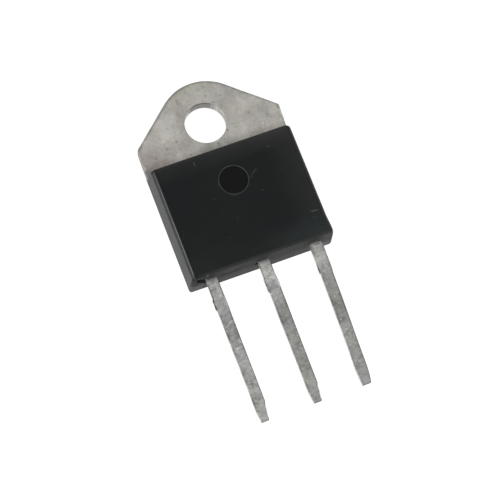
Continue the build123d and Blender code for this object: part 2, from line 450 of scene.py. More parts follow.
    def done(self, base, rough, normal=None, metallic=0.0, ior=1.5, **fixed):
        b = self.bsdf.inputs
        self.put(b["Base Color"], base if isinstance(base, bpy.types.NodeSocket) else (*base, 1.0))
        self.put(b["Roughness"], rough)
        b["Metallic"].default_value = metallic
        b["IOR"].default_value = ior
        for k, v in fixed.items():
            b[k.replace("_", " ")].default_value = v
        if normal is not None:
            self.link(normal, b["Normal"])
        return self.mat


# ------------------------------------------------------------------ materials

MARK = (0.0, -7.58)
LEAD_X = (-5.46, 0.11, 5.68)
LEAD_LEAN = tuple(math.tan(math.radians(d)) for d in (-0.23, -0.50, -2.00))


def epoxy():
    n = Nodes("moulding_compound_black")
    cloud = n.noise(0.26, 3.0, 0.55)
    cloud2 = n.noise(0.55, 2.0, 0.5, n.stretch(1, 1, 1, (11, 5, 3)))
    grain = n.noise(9.0, 2.0, 0.6)
    fine = n.noise(38.0, 1.0, 0.5)
    face = n.step(4.30, 4.46, n.z)
    ax = n.math("ABSOLUTE", n.x)

    # haze where handling has rubbed the skin: along the top edge of the front face, down
    # its right side and in the lower right corner
    top = n.mul(n.remap(n.y, -5.95, -4.10, 0.0, 1.0), n.remap(n.x, -4.0, 4.0, 0.44, 0.84))
    top = n.mx(top, n.mul(n.remap(n.y, -4.55, -4.00, 0.0, 1.0), n.remap(n.x, -4.0, 4.0, 0.80, 1.0)))
    right = n.mul(n.step(3.6, 7.0, n.x), 0.44)
    low = n.add(n.mul(n.step(-4.0, -6.0, n.x), 0.14), n.add(0.14, n.remap(n.x, 0.0, 5.0, 0.0, 0.48)))
    low = n.mul(n.step(-12.8, -15.6, n.y), n.mul(low, n.remap(n.x, 5.4, 6.8, 1.0, 0.70)))
    rub = n.screen(n.screen(top, right), low)
    rub = n.mul(n.mul(rub, face), n.remap(cloud2, 0.3, 0.7, 0.78, 1.22))

    dark = n.mix(n.step(0.34, 0.66, cloud), (0.0026, 0.0064, 0.0052), (0.0042, 0.0056, 0.0070))
    col = n.mix(rub, dark, n.mix(n.step(-4.5, -4.05, n.y), (0.0460, 0.0462, 0.0425), (0.0530, 0.0525, 0.0470)))
    cool = n.mul(n.step(-12.6, -14.6, n.y), n.step(0.5, 4.5, n.x))
    col = n.tint(n.mul(cool, 0.9), col, (0.86, 1.04, 1.18))

    # the walls keep the eroded texture of the cavity and look much greyer than the
    # polished face; lighter towards the foot, painted light from the bright floor below
    foot = n.step(2.4, 1.2, n.z)
    grey = n.mix(n.mx(foot, 0.10), (0.0160, 0.0170, 0.0162), (0.0585, 0.0600, 0.0580))
    lower = n.step(-15.55, -15.70, n.y)
    # painted light: lighter above each lead root, offsetting the shade the lead casts on the wall
    above = n.mul(n.mul(lower, n.band(n.z, 2.78, 3.60, 0.12)), n.mx(n.band(n.x, -6.05, -4.90, 0.08), n.mx(
        n.band(n.x, -0.50, 0.70, 0.08), n.band(n.x, 5.05, 6.30, 0.08))))
    grey = n.mix(above, grey, (0.105, 0.107, 0.104))
    # painted light: lighter at the foot of the wall near both lower corners, from the bright floor
    near_left = n.mul(lower, n.step(-6.15, -6.45, n.x))
    grey = n.mix(n.mul(near_left, foot), grey, (0.135, 0.136, 0.133))
    grey = n.mix(n.mul(n.mul(lower, n.step(6.15, 6.45, n.x)), n.mx(foot, 0.22)), grey, (0.150, 0.151, 0.148))
    # painted light: the left wall coloured lighter, where the side light and the floor's glare fall on it
    left = n.mul(n.step(-6.6, -7.2, n.x), n.step(-15.92, -15.5, n.y))
    ends = n.mx(n.mul(n.step(-9.5, -5.0, n.y), 0.9), n.step(-14.0, -15.4, n.y))
    grey = n.mix(left, grey, n.mix(ends, (0.1165, 0.1160, 0.1160), (0.1260, 0.1255, 0.1255)))
    drift = n.noise(1.0, 3.0, 0.6, n.stretch(0.75, 0.75, 3.2, (4, 0, 2)))
    dust = n.add(n.mul(n.sub(n.noise(2.2, 4.0, 0.65), 0.5), 1.5), n.mul(n.sub(drift, 0.5), 2.2))
    grey = n.mix(n.math("ADD", 0.5, dust, clamp=True), n.mix(0.5, grey, (0.008, 0.008, 0.008)), n.mix(0.24, grey, (0.086, 0.086, 0.083)))
    # below the broken gate the wall is painted dark: painted shade under the gate's lip, with no dust mottling
    gate_shade = n.mul(n.step(-5.95, -6.12, n.x), n.step(2.0, 3.1, n.z))
    gate_shade = n.mul(n.mul(gate_shade, n.step(4.22, 3.95, n.z)), n.step(-15.6, -15.7, n.y))
    grey = n.mix(n.mul(gate_shade, 0.95), grey, (0.0100, 0.0108, 0.0098))
    top_of_wall = n.lerp(n.step(-15.54, -15.62, n.y), n.step(4.46, 4.05, n.z), n.step(-15.56, -15.93, n.y))
    col = n.mix(top_of_wall, col, grey)
    # the long sides lean in above the shoulder, and are painted darker there: painted shade where the side turns up,
    # away from the side light
    lean = n.mul(n.band(n.z, 3.80, 4.50, 0.05), n.step(7.02, 7.10, ax))
    col = n.mix(n.mul(n.mul(lean, n.step(-15.95, -15.7, n.y)), 0.55), col, (0.022, 0.022, 0.022))
    # painted highlight along the rounding of the right side
    col = n.mix(n.mul(n.step(7.02, 7.28, n.x), n.step(4.15, 4.40, n.z)), col, (0.054, 0.055, 0.053))
    # painted highlight on the rounding above the leads
    brow_highlight = n.mul(n.mul(n.step(4.02, 4.30, n.z), n.step(-15.60, -15.85, n.y)), n.remap(n.x, -7.2, -4.6, 0.45, 1.0))
    col = n.mix(n.mul(brow_highlight, 0.55), col, (0.0750, 0.0765, 0.0730))
    # a dull line along the wall between the first two leads
    dull_line = n.sub(n.z, n.add(2.55, n.mul(n.remap(n.x, -4.5, -0.9, 0.0, 1.0), 0.35)))
    dull_line = n.mul(n.band(dull_line, -0.28, 0.28, 0.22), n.band(n.x, -4.6, -2.2, 0.7))
    dull_line = n.mul(n.mul(dull_line, n.step(-15.7, -15.85, n.y)), n.remap(drift, 0.36, 0.60, 0.45, 1.0))
    col = n.mix(n.mul(dull_line, 0.85), col, (0.0030, 0.0034, 0.0030))
    # broken gate left of the first lead, and the small hollows beside the leads: painted near black, painted shade in
    # the recesses
    slot = n.sub(n.z, n.sub(4.08, n.mul(n.step(-7.1, -6.3, n.x), 0.72)))
    recess_shade = n.mul(n.band(slot, -1.25, 0.0, 0.10), n.band(n.x, -6.98, -6.02, 0.06))
    recess_shade = n.mx(recess_shade, n.mul(n.band(n.x, -6.27, -6.00, 0.03), n.band(n.z, 1.95, 3.2, 0.08)))
    recess_shade = n.mx(recess_shade, n.mul(n.band(n.x, -0.80, -0.46, 0.04), n.band(n.z, 2.10, 2.75, 0.08)))
    col = n.mix(n.mul(n.mul(recess_shade, n.step(-15.6, -15.7, n.y)), 0.80), col, (0.0040, 0.0044, 0.0038))
    # painted shade deep inside the gate's slot, broken by lighter crumbs
    slot_shade = n.mul(n.band(n.y, -15.965, -15.50, 0.02), n.mul(n.band(n.z, 1.8, 4.05, 0.05), n.step(-5.90, -5.98, n.x)))
    slot_shade = n.mul(slot_shade, n.step(-7.12, -7.04, n.x))
    crumb = n.step(0.42, 0.60, n.noise(3.2, 3.0, 0.6))
    col = n.mix(slot_shade, col, n.mix(crumb, (0.0035, 0.0038, 0.0034), (0.0560, 0.0570, 0.0540)))
    chip = n.mul(n.mul(n.band(n.x, -6.08, -5.86, 0.05), n.band(n.z, 4.24, 4.36, 0.03)), n.step(-15.75, -15.85, n.y))
    col = n.mix(chip, col, (0.290, 0.295, 0.290))

    # painted highlight along the upper left edge, where its rounding catches the light
    ends = n.mul(n.step(-4.0, -4.28, n.y), n.step(-15.75, -15.3, n.y))
    line = n.mul(n.mul(n.band(n.z, 4.215, 4.315, 0.030), n.step(-7.02, -7.10, n.x)), ends)
    highlight_strength = n.remap(n.noise(0.8, 3.0), 0.32, 0.68, 0.62, 1.0)
    highlight_strength = n.mul(highlight_strength, n.remap(n.y, -9.0, -4.4, 1.0, 0.78))
    col = n.mix(n.mul(line, highlight_strength), col, (0.250, 0.253, 0.246))
    # painted shade: a dark band between that highlight and the face, where the rounding mirrors the dark
    under = n.mul(n.band(n.z, 4.355, 4.49, 0.03), n.step(-6.92, -6.97, n.x))
    col = n.mix(n.mul(under, 0.92), col, (0.0012, 0.0014, 0.0014))
    lip = n.mul(n.mul(n.step(-4.22, -4.08, n.y), n.step(-6.85, -6.95, n.x)), n.step(3.7, 3.9, n.z))
    col = n.mix(n.mul(lip, 0.85), col, (0.0120, 0.0115, 0.0105))

    # scuffs and specks on the front face
    marks = None
    for p, q, width, k in (
        ((-3.16, -4.46), (-3.14, -4.98), 0.060, 0.95), ((1.52, -7.99), (2.66, -7.17), 0.045, 0.55),
        ((1.98, -7.62), (2.62, -7.17), 0.060, 0.60), ((1.62, -7.95), (1.98, -7.90), 0.060, 0.25),
        ((5.98, -13.28), (6.86, -13.38), 0.095, 0.95), ((5.90, -13.96), (6.55, -14.02), 0.070, 0.35),
        ((-2.75, -6.35), (-3.05, -6.50), 0.045, 0.35), ((4.40, -5.25), (4.62, -5.60), 0.060, 0.60),
        ((-2.68, -8.82), (-2.45, -8.88), 0.045, 0.45), ((2.05, -9.62), (2.55, -9.52), 0.040, 0.45),
        ((4.80, -8.22), (5.05, -8.30), 0.040, 0.30), ((-6.10, -15.84), (-5.86, -15.80), 0.045, 0.5),
        ((-2.75, -13.05), (-2.40, -13.10), 0.050, 0.28), ((-7.0, -11.8), (-6.6, -10.9), 0.080, 0.12),
    ):
        one = n.mul(n.segment(p, q, width, 0.05), k)
        marks = one if marks is None else n.mx(marks, one)
    for cx, cy, r, k in (
        (-1.08, -11.42, 0.075, 0.75), (-4.72, -12.24, 0.075, 0.60), (-2.25, -10.15, 0.060, 0.45), (2.35, -9.60, 0.060, 0.60),
        (-1.65, -11.10, 0.060, 0.25), (4.55, -5.45, 0.080, 0.45), (3.25, -6.30, 0.060, 0.22), (-5.60, -7.90, 0.050, 0.20),
    ):
        marks = n.mx(marks, n.mul(n.blob(cx, cy, r * 0.5, r * 0.6), k))
    cells = n.voronoi(1.15, "F1")
    keep = n.step(0.86, 0.92, n.voronoi(1.15, "F1", out="Color"))
    marks = n.mx(marks, n.mul(n.mul(n.step(0.055, 0.02, cells), keep), 0.35))
    hair = n.noise(1.0, 2.0, 0.6, n.stretch(0.5, 7.0, 1.0, turn=0.45))
    marks = n.mx(marks, n.mul(n.step(0.69, 0.80, hair), 0.06))
    marks = n.mul(marks, n.step(4.38, 4.46, n.z))
    col = n.mix(marks, col, (0.125, 0.129, 0.128))

    # ejector-pin disc: turned, darker than the skin, with a thin bright rim
    rad = n.math("SQRT", n.add(
        n.math("POWER", n.sub(n.x, MARK[0]), 2.0), n.math("POWER", n.sub(n.y, MARK[1]), 2.0)))
    disc = n.mul(n.step(1.46, 1.40, rad), face)
    col = n.mix(disc, col, n.mix(n.step(0.4, 0.6, cloud2), (0.0092, 0.0090, 0.0088), (0.0072, 0.0074, 0.0078)))
    rim = n.mul(n.band(rad, 1.470, 1.545, 0.025), face)
    rim = n.mul(rim, n.remap(n.noise(1.1, 2.0), 0.3, 0.7, 0.45, 1.0))
    col = n.mix(rim, col, (0.125, 0.128, 0.124))
    ghost = n.mul(n.mul(n.band(rad, 1.60, 1.66, 0.03), face), n.step(0.2, -0.6, n.x))
    col = n.mix(n.mul(ghost, n.step(0.5, 0.65, n.noise(0.9, 1.0))), col, (0.040, 0.041, 0.040))

    rough = n.remap(cloud, 0.25, 0.75, 0.34, 0.44)
    rough = n.lerp(n.mul(rub, 0.7), rough, 0.52)
    rough = n.lerp(top_of_wall, rough, 0.68)
    dull = n.mul(n.mul(top_of_wall, lower), n.step(4.30, 3.95, n.z))
    rough = n.lerp(dull, rough, n.add(n.remap(drift, 0.42, 0.58, 0.65, 0.79), n.mul(dull_line, 0.10)))
    rough = n.lerp(marks, rough, 0.60)
    rough = n.lerp(disc, rough, 0.78)
    rough = n.add(rough, n.mul(n.sub(grain, 0.5), 0.10))

    turned = n.math("SINE", n.mul(rad, 62.0))
    nrm = n.bump(fine, 0.0022, 0.8)
    nrm = n.bump(grain, 0.0060, 0.8, nrm)
    nrm = n.bump(n.noise(0.8, 2.0), 0.012, 0.6, nrm)
    nrm = n.bump(n.mul(turned, disc), 0.0025, 0.9, nrm)
    nrm = n.bump(marks, 0.006, 0.7, nrm)
    return n.done(col, rough, nrm, ior=1.5, Specular_IOR_Level=0.25)


def plating():
    """Dull tin-nickel plate over rolled copper: warm grey, clouded, with small pits."""
    n = Nodes("plated_copper_dull")
    cloud = n.noise(0.42, 4.0, 0.60, distort=0.4)
    patch = n.noise(1.15, 4.0, 0.66, distort=0.9)
    blot = n.noise(2.9, 3.0, 0.62, n.stretch(1.0, 1.0, 1.0, (5, 9, 2), turn=0.5), distort=0.8)
    roll = n.noise(1.0, 3.0, 0.6, n.stretch(5.5, 0.8, 1.0, turn=0.12))
    grain = n.noise(12.0, 2.0, 0.6)
    rad = n.math("SQRT", n.add(n.math("POWER", n.x, 2.0), n.math("POWER", n.y, 2.0)))

    tone = n.add(n.mul(n.sub(cloud, 0.5), 1.15), n.mul(n.sub(patch, 0.5), 1.05))
    tone = n.add(tone, n.mul(n.sub(blot, 0.5), 0.42))
    tone = n.add(tone, n.mul(n.sub(roll, 0.5), 0.25))
    tone = n.add(tone, n.mul(n.sub(grain, 0.5), 0.26))
    # paler left of the hole; darker towards the moulding, painted shade where the moulding's wall stands over the tab;
    # darker along the left side
    beside = n.mul(n.band(n.x, -5.2, -2.6, 0.6), n.band(n.y, -0.9, 2.2, 0.7))
    tone = n.add(tone, n.mul(beside, 0.22))
    moulding_shade = n.step(-2.0, -3.15, n.y)
    tone = n.sub(tone, n.mul(moulding_shade, 0.36))
    tone = n.sub(tone, n.mul(n.mul(n.step(2.9, 0.8, ax_of(n)), n.step(-1.9, -2.5, n.y)), 0.14))
    tone = n.sub(tone, n.mul(n.mul(n.step(-3.2, -6.9, n.x), n.step(0.3, -1.4, n.y)), 0.20))
    tone = n.sub(tone, n.mul(n.mul(n.step(2.6, 3.8, n.y), n.step(3.0, 1.5, ax_of(n))), 0.05))
    tone = n.add(tone, 0.51)
    col = n.mix(n.math("MULTIPLY", tone, 1.0, clamp=True), (0.355, 0.338, 0.304), (0.885, 0.842, 0.779))

    # stains: pinkish where copper shows through, greenish and bluish elsewhere
    pink = n.mul(n.step(-2.0, -6.5, n.x), n.step(0.2, -2.0, n.y))
    pink = n.mx(pink, n.mul(n.step(0.50, 0.66, n.noise(0.50, 2.0, 0.5, n.stretch(1, 1, 1, (9, 4, 2)))), 0.35))
    col = n.tint(n.mul(pink, 0.75), col, (1.030, 0.965, 0.970))
    green = n.mx(n.mul(n.step(3.0, 3.7, n.y), n.step(3.2, 1.2, ax_of(n))), n.mx(
        n.blob(-5.15, 0.00, 0.25, 0.45), n.mul(n.mx(n.blob(3.0, -1.3, 0.5, 0.6), n.blob(6.3, -2.3, 0.5, 0.8)), 0.6)))
    green = n.mx(green, n.mul(n.step(0.52, 0.68, n.noise(0.55, 2.0, 0.5, n.stretch(1, 1, 1, (-5, 8, 6)))), 0.35))
    col = n.tint(n.mul(green, 0.70), col, (0.975, 1.008, 0.930))
    blue = n.mx(n.blob(3.3, 2.2, 0.4, 0.7), n.step(0.54, 0.68, n.noise(0.60, 2.0, 0.5, n.stretch(1, 1, 1, (2, -7, 9)))))
    col = n.tint(n.mul(blue, 0.40), col, (0.965, 1.000, 1.060))
    col = n.tint(n.mul(n.mul(n.step(2.4, 1.2, ax_of(n)), n.step(-1.6, -2.3, n.y)), 0.8), col, (0.975, 1.010, 1.010))

    # dark pits and small bright nicks
    cells = n.voronoi(2.1, "F1", n.stretch(1, 1, 0.2))
    keep = n.step(0.66, 0.76, n.voronoi(2.1, "F1", n.stretch(1, 1, 0.2), out="Color"))
    ragged = n.add(cells, n.mul(n.sub(n.noise(6.0, 2.0), 0.5), 0.22))
    pit = n.mul(n.mul(n.step(0.21, 0.05, ragged), keep), 0.8)
    for cx, cy, r, w in (
        (-3.55, -0.93, 0.15, 1.0), (-6.10, -1.95, 0.17, 0.9), (-2.67, -2.75, 0.16, 0.9), (-4.70, -1.38, 0.24, 0.55),
        (0.42, -2.52, 0.17, 0.9), (1.86, -1.44, 0.17, 0.9), (6.31, -1.26, 0.30, 0.45), (-3.27, 3.00, 0.12, 0.6),
        (-5.05, -0.15, 0.20, 0.35), (3.10, 2.40, 0.20, 0.35), (4.60, -0.35, 0.26, 0.30), (-0.80, 2.42, 0.14, 0.6),
        (-3.95, 0.75, 0.14, 0.5), (1.05, 2.75, 0.22, 0.4), (-4.15, -2.30, 0.30, 0.40), (-0.85, 3.80, 0.13, 0.8),
    ):
        pit = n.mx(pit, n.mul(n.blob(cx, cy, r * 0.55, r * 0.6), w))
    dash = n.noise(1.0, 2.0, 0.6, n.stretch(1.5, 3.4, 1.0, (3, 1, 4), turn=0.35))
    pit = n.mx(pit, n.mul(n.step(0.66, 0.75, dash), 0.26))
    col = n.mix(n.mul(pit, 0.60), col, (0.235, 0.222, 0.198))

    cells2 = n.voronoi(3.2, "F1", n.stretch(1, 1, 0.2, (3, 3, 0)))
    keep2 = n.step(0.78, 0.86, n.voronoi(3.2, "F1", n.stretch(1, 1, 0.2, (3, 3, 0)), out="Color"))
    nick = n.mul(n.mul(n.step(0.15, 0.03, cells2), keep2), 0.55)
    for cx, cy, r, w in (
        (-2.96, 1.78, 0.12, 0.9), (5.56, -1.98, 0.15, 1.0), (-4.80, -0.44, 0.17, 0.8), (-4.20, -0.28, 0.13, 0.6),
        (2.60, 3.05, 0.11, 0.5), (-0.35, 3.55, 0.12, 0.4), (-3.60, 0.72, 0.15, 0.5),
        (-3.25, -3.05, 0.10, 0.7), (5.15, 1.10, 0.16, 0.4),
    ):
        nick = n.mx(nick, n.mul(n.blob(cx, cy, r * 0.5, r * 0.6), w))
    # curved and straight handling scratches
    for p, q, w, k in (
        ((3.20, -0.60), (3.75, -1.75), 0.05, 0.35), ((3.75, -1.75), (2.95, -2.35), 0.05, 0.30), ((-4.30, 1.30), (-3.35, 0.55), 0.05, 0.35),
        ((-5.30, -0.20), (-4.55, -0.72), 0.06, 0.55), ((4.10, 1.25), (6.10, 0.35), 0.05, 0.25), ((1.9, 3.3), (2.9, 2.1), 0.05, 0.22),
        ((-6.9, -0.9), (-6.2, -1.5), 0.05, 0.25), ((5.0, -2.5), (6.9, -2.2), 0.06, 0.35),
    ):
        nick = n.mx(nick, n.mul(n.segment(p, q, w, 0.12), k))
    fleck = n.noise(1.0, 2.0, 0.6, n.stretch(2.6, 1.6, 1.0, (7, 2, 4), turn=-0.5))
    nick = n.mx(nick, n.mul(n.step(0.66, 0.76, fleck), 0.20))
    col = n.mix(n.mul(nick, 0.62), col, (0.930, 0.905, 0.855))

    # sheared edges: rough, streaked across the thickness; yellowish burnish on the right
    side = n.step(1.40, 1.24, n.z)
    streak = n.noise(1.0, 3.0, 0.7, n.stretch(9.0, 9.0, 0.9))
    lit = n.step(0.35, 0.65, streak)
    col = n.mix(n.mul(side, 0.75), col, n.mix(lit, (0.37, 0.36, 0.335), (0.60, 0.59, 0.555)))
    west = n.step(-7.15, -7.40, n.x)
    col = n.mix(n.mul(n.mul(side, west), 0.90), col, n.mix(lit, (0.150, 0.140, 0.132), (0.270, 0.252, 0.240)))
    col = n.mix(n.mul(n.mul(side, west), n.mul(n.step(-2.45, -2.75, n.y), 0.90)), col, n.mix(lit, (0.150, 0.148, 0.142), (0.240, 0.236, 0.226)))
    olive = n.mx(n.segment((7.74, -0.48), (7.58, -1.18), 0.21, 0.06), n.mul(n.segment((7.56, -1.18), (7.50, -1.85), 0.17, 0.08), 0.65))
    rib = n.remap(n.noise(1.0, 2.0, 0.5, n.stretch(9.0, 1.2, 1.0, turn=0.22)), 0.38, 0.62, 0.55, 1.0)
    col = n.mix(n.mul(n.mul(olive, rib), 0.92), col, (0.430, 0.450, 0.290))
    spark = n.mx(n.blob(7.50, -1.20, 0.035, 0.07), n.mx(n.mul(n.blob(7.40, -2.22, 0.04, 0.10), 0.8), n.mul(n.segment((7.62, -0.95), (7.60, -1.25), 0.05, 0.03), 0.7)))
    col = n.mix(n.mul(spark, 0.85), col, (0.92, 0.94, 0.78))
    col = n.mix(n.mul(n.segment((7.22, -0.50), (7.44, -1.15), 0.12, 0.06), 0.40), col, (0.80, 0.82, 0.82))
    torn = n.mul(n.blob(7.76, -1.62, 0.10, 0.16), n.step(0.42, 0.56, n.noise(5.0, 2.0)))
    torn = n.mx(torn, n.mul(n.segment((7.78, -0.90), (7.72, -2.05), 0.07, 0.05), 0.8))
    col = n.mix(n.mul(torn, 0.85), col, (0.97, 0.97, 0.95))
    # left corner at the moulding: painted darker, painted shade beside the moulding's wall, with one bright nick on the
    # edge
    dull = n.mul(n.step(-2.72, -3.05, n.y), n.step(-6.90, -7.20, n.x))
    col = n.mix(n.mul(dull, 0.88), col, n.mix(lit, (0.235, 0.236, 0.232), (0.330, 0.330, 0.322)))
    col = n.mix(n.mul(n.segment((-7.60, -2.30), (-7.53, -2.80), 0.050, 0.03), 0.9), col, (0.98, 0.98, 0.95))

    # hole wall: torn and oxidised, dark partly as painted shade for the shaded floor it mirrors; darker
    # along the top, painted shade where it faces the moulding; paler to the right, with two burnished places under the
    # rim
    wall = n.mul(n.step(2.28, 2.20, rad), n.step(1.495, 1.44, n.z))
    shade = n.mix(n.step(1.12, 1.42, n.x), (0.250, 0.241, 0.222), (0.450, 0.440, 0.408))
    shade = n.mix(n.step(-0.75, -1.55, n.x), shade, (0.590, 0.565, 0.520))
    shade = n.mix(n.mul(n.band(n.x, 1.36, 1.52, 0.05), 0.6), shade, (0.30, 0.29, 0.265))
    shade = n.mix(n.mul(n.band(n.x, 1.66, 1.80, 0.05), 0.6), shade, (0.66, 0.65, 0.61))
    shade = n.tint(n.mul(n.sub(1.0, lit), 0.45), shade, (0.68, 0.68, 0.68))
    # painted shade along the top of the wall, where it faces the moulding
    edge = n.mul(n.step(1.10, 1.30, n.z), n.mul(n.band(n.x, -0.95, 1.20, 0.20), n.step(1.0, 1.6, n.y)))
    shade = n.mix(n.mul(edge, 0.72), shade, (0.085, 0.082, 0.072))
    col = n.mix(wall, col, shade)
    # a dark smear on the front just above the torn stretch
    smear = n.mx(n.segment((1.30, 1.95), (1.75, 1.72), 0.13, 0.10), n.mul(n.segment((-1.45, 1.80), (-1.20, 2.05), 0.10, 0.08), 0.6))
    col = n.mix(n.mul(smear, 0.50), col, (0.33, 0.325, 0.30))
    burr = n.mx(n.band(n.y, 0.30, 0.92, 0.08), n.mul(n.band(n.y, -0.32, -0.10, 0.06), 1.0))
    burr = n.mul(n.mul(burr, n.step(1.80, 1.92, n.x)), n.mul(wall, n.band(n.z, 1.02, 1.34, 0.08)))
    burr = n.mul(burr, n.remap(n.noise(1.0, 2.0, 0.6, n.stretch(4.2, 4.2, 2.0, (2, 5, 0))), 0.40, 0.62, 0.25, 1.0))
    col = n.mix(n.mul(burr, 0.75), col, (0.94, 0.935, 0.91))

    rough = n.remap(patch, 0.3, 0.7, 0.38, 0.52)
    rough = n.lerp(pit, rough, 0.62)
    rough = n.lerp(nick, rough, 0.34)
    rough = n.lerp(n.mul(side, 0.8), rough, 0.50)
    nrm = n.bump(grain, 0.0045, 0.7)
    nrm = n.bump(roll, 0.0050, 0.6, nrm)
    nrm = n.bump(patch, 0.0130, 0.7, nrm)
    nrm = n.bump(blot, 0.0040, 0.7, nrm)
    nrm = n.bump(n.sub(nick, pit), 0.010, 0.8, nrm)
    nrm = n.bump(streak, 0.03, 0.35, nrm)
    return n.done(col, rough, nrm, metallic=1.0)


def ax_of(n):
    return n.math("ABSOLUTE", n.x)


def tinned():
    """Matt tin on the leads: nearly neutral, with cross-wise handling marks."""
    n = Nodes("tinned_lead_matt")
    cloud = n.noise(0.8, 4.0, 0.62, n.stretch(1.0, 0.8, 1.0), distort=0.5)
    patch = n.noise(2.6, 3.0, 0.62, distort=0.7)
    blot = n.noise(6.0, 2.0, 0.6, n.stretch(1, 1, 1, (2, 6, 4)), distort=0.5)
    cross = n.noise(1.0, 3.0, 0.6, n.stretch(1.2, 5.5, 1.0, turn=-0.35))
    draw = n.noise(1.0, 3.0, 0.6, n.stretch(14.0, 0.6, 2.0))
    grain = n.noise(20.0, 2.0, 0.6)
    # distance across from each lead's own centre line
    second, third = n.step(-2.8, -2.6, n.x), n.step(2.9, 3.1, n.x)
    centre = n.lerp(third, n.lerp(second, LEAD_X[0], LEAD_X[1]), LEAD_X[2])
    lean = n.lerp(third, n.lerp(second, LEAD_LEAN[0], LEAD_LEAN[1]), LEAD_LEAN[2])
    u = n.add(n.sub(n.x, centre), n.mul(lean, n.mn(n.add(n.y, 16.14), 0.0)))

    tone = n.add(n.mul(n.sub(cloud, 0.5), 1.10), n.mul(n.sub(patch, 0.5), 0.85))
    tone = n.add(tone, n.mul(n.sub(blot, 0.5), 0.36))
    tone = n.add(tone, n.mul(n.sub(cross, 0.5), 0.42))
    tone = n.mul(tone, n.lerp(second, 0.94, 0.78))
    tone = n.add(tone, n.mul(n.sub(draw, 0.5), 0.22))
    tone = n.add(tone, n.mul(n.sub(grain, 0.5), 0.22))
    wide = n.noise(1.5, 3.0, 0.6, n.stretch(1, 1, 1, (8, 3, 1), turn=0.4), distort=0.6)
    tone = n.add(tone, n.mul(n.mul(n.sub(wide, 0.5), 0.8), n.sub(1.0, second)))
    # brighter coined stretch between the moulding and the trimmed dam bar
    coin = n.band(n.y, -18.15, -17.05, 0.20)
    coin = n.mul(coin, n.remap(n.noise(0.9, 3.0, 0.6, n.stretch(1, 1, 1, (3, 0, 0))), 0.3, 0.7, 0.6, 1.0))
    tone = n.add(n.add(tone, 0.49), n.mul(coin, 0.22))
    # lighter towards the moulding, and right at it painted light that offsets the shade and dark reflection of the
    # moulding's wall on the lead roots
    tone = n.add(tone, n.mul(n.band(n.y, -16.95, -15.9, 0.20), 0.12))
    tone = n.add(tone, n.mul(n.step(-16.62, -16.40, n.y), 0.40))
    tone = n.sub(tone, n.mul(n.band(n.y, -22.9, -19.7, 0.5), 0.13))
    # each lead has been handled differently
    tone = n.add(tone, n.mul(n.mul(n.step(-29.0, -29.8, n.y), n.lerp(second, 0.10, -0.10)), 1.0))
    tone = n.sub(tone, n.mul(n.mul(third, n.band(n.y, -24.6, -22.4, 0.35)), 0.16))
    tone = n.sub(tone, n.mul(n.mul(second, n.mul(n.step(-19.8, -21.4, n.y), n.step(-29.0, -26.8, n.y))), 0.09))
    first = n.sub(1.0, second)
    centre_lead = n.mul(second, n.sub(1.0, third))
    for which, y0, y1, k in (
        (first, -18.2, -17.0, -0.13), (first, -22.6, -19.6, -0.06), (first, -28.8, -27.2, 0.06),
        (centre_lead, -18.3, -17.0, 0.18), (centre_lead, -20.8, -19.2, 0.12), (centre_lead, -28.9, -25.2, -0.08),
        (third, -26.8, -25.0, 0.11), (third, -28.6, -27.4, -0.06), (third, -18.6, -17.5, 0.10), (third, -16.9, -15.9, -0.10),
        (centre_lead, -18.4, -17.0, 0.06),
    ):
        tone = n.add(tone, n.mul(n.mul(which, n.band(n.y, y0, y1, 0.35)), k))
    # painted shade along the rounded right-hand edges
    right_edge_shade = n.mul(n.step(0.42, 0.56, u), n.remap(n.noise(1.3, 2.0), 0.35, 0.65, 0.35, 1.0))
    right_edge_shade = n.mul(right_edge_shade, n.sub(1.0, n.mul(n.band(n.y, -19.15, -18.15, 0.14), n.sub(1.0, third))))
    tone = n.sub(tone, n.mul(right_edge_shade, 0.26))
    # painted shade in patches along the left-hand edges
    west = n.mul(n.step(-0.36, -0.52, u), n.step(0.48, 0.60, n.noise(0.8, 2.0, 0.5, n.stretch(1, 1, 1, (1, 7, 3)))))
    tone = n.sub(tone, n.mul(west, 0.24))
    # painted shade along both edges of the first lead near its stubs
    first_lead_edge_shade = n.mx(n.mul(n.step(0.44, 0.54, u), n.band(n.y, -18.15, -16.4, 0.2)), n.mul(n.step(-0.50, -0.60, u), n.band(n.y, -19.4, -17.2, 0.2)))
    tone = n.sub(tone, n.mul(n.mul(first_lead_edge_shade, first), 0.34))
    col = n.mix(n.math("MULTIPLY", tone, 1.0, clamp=True), (0.250, 0.249, 0.241), (0.820, 0.816, 0.790))
    col = n.tint(n.mul(n.step(0.46, 0.64, n.noise(0.5, 2.0, 0.5, n.stretch(1, 1, 1, (4, 4, 8)))), 0.7), col, (1.0, 0.997, 0.945))

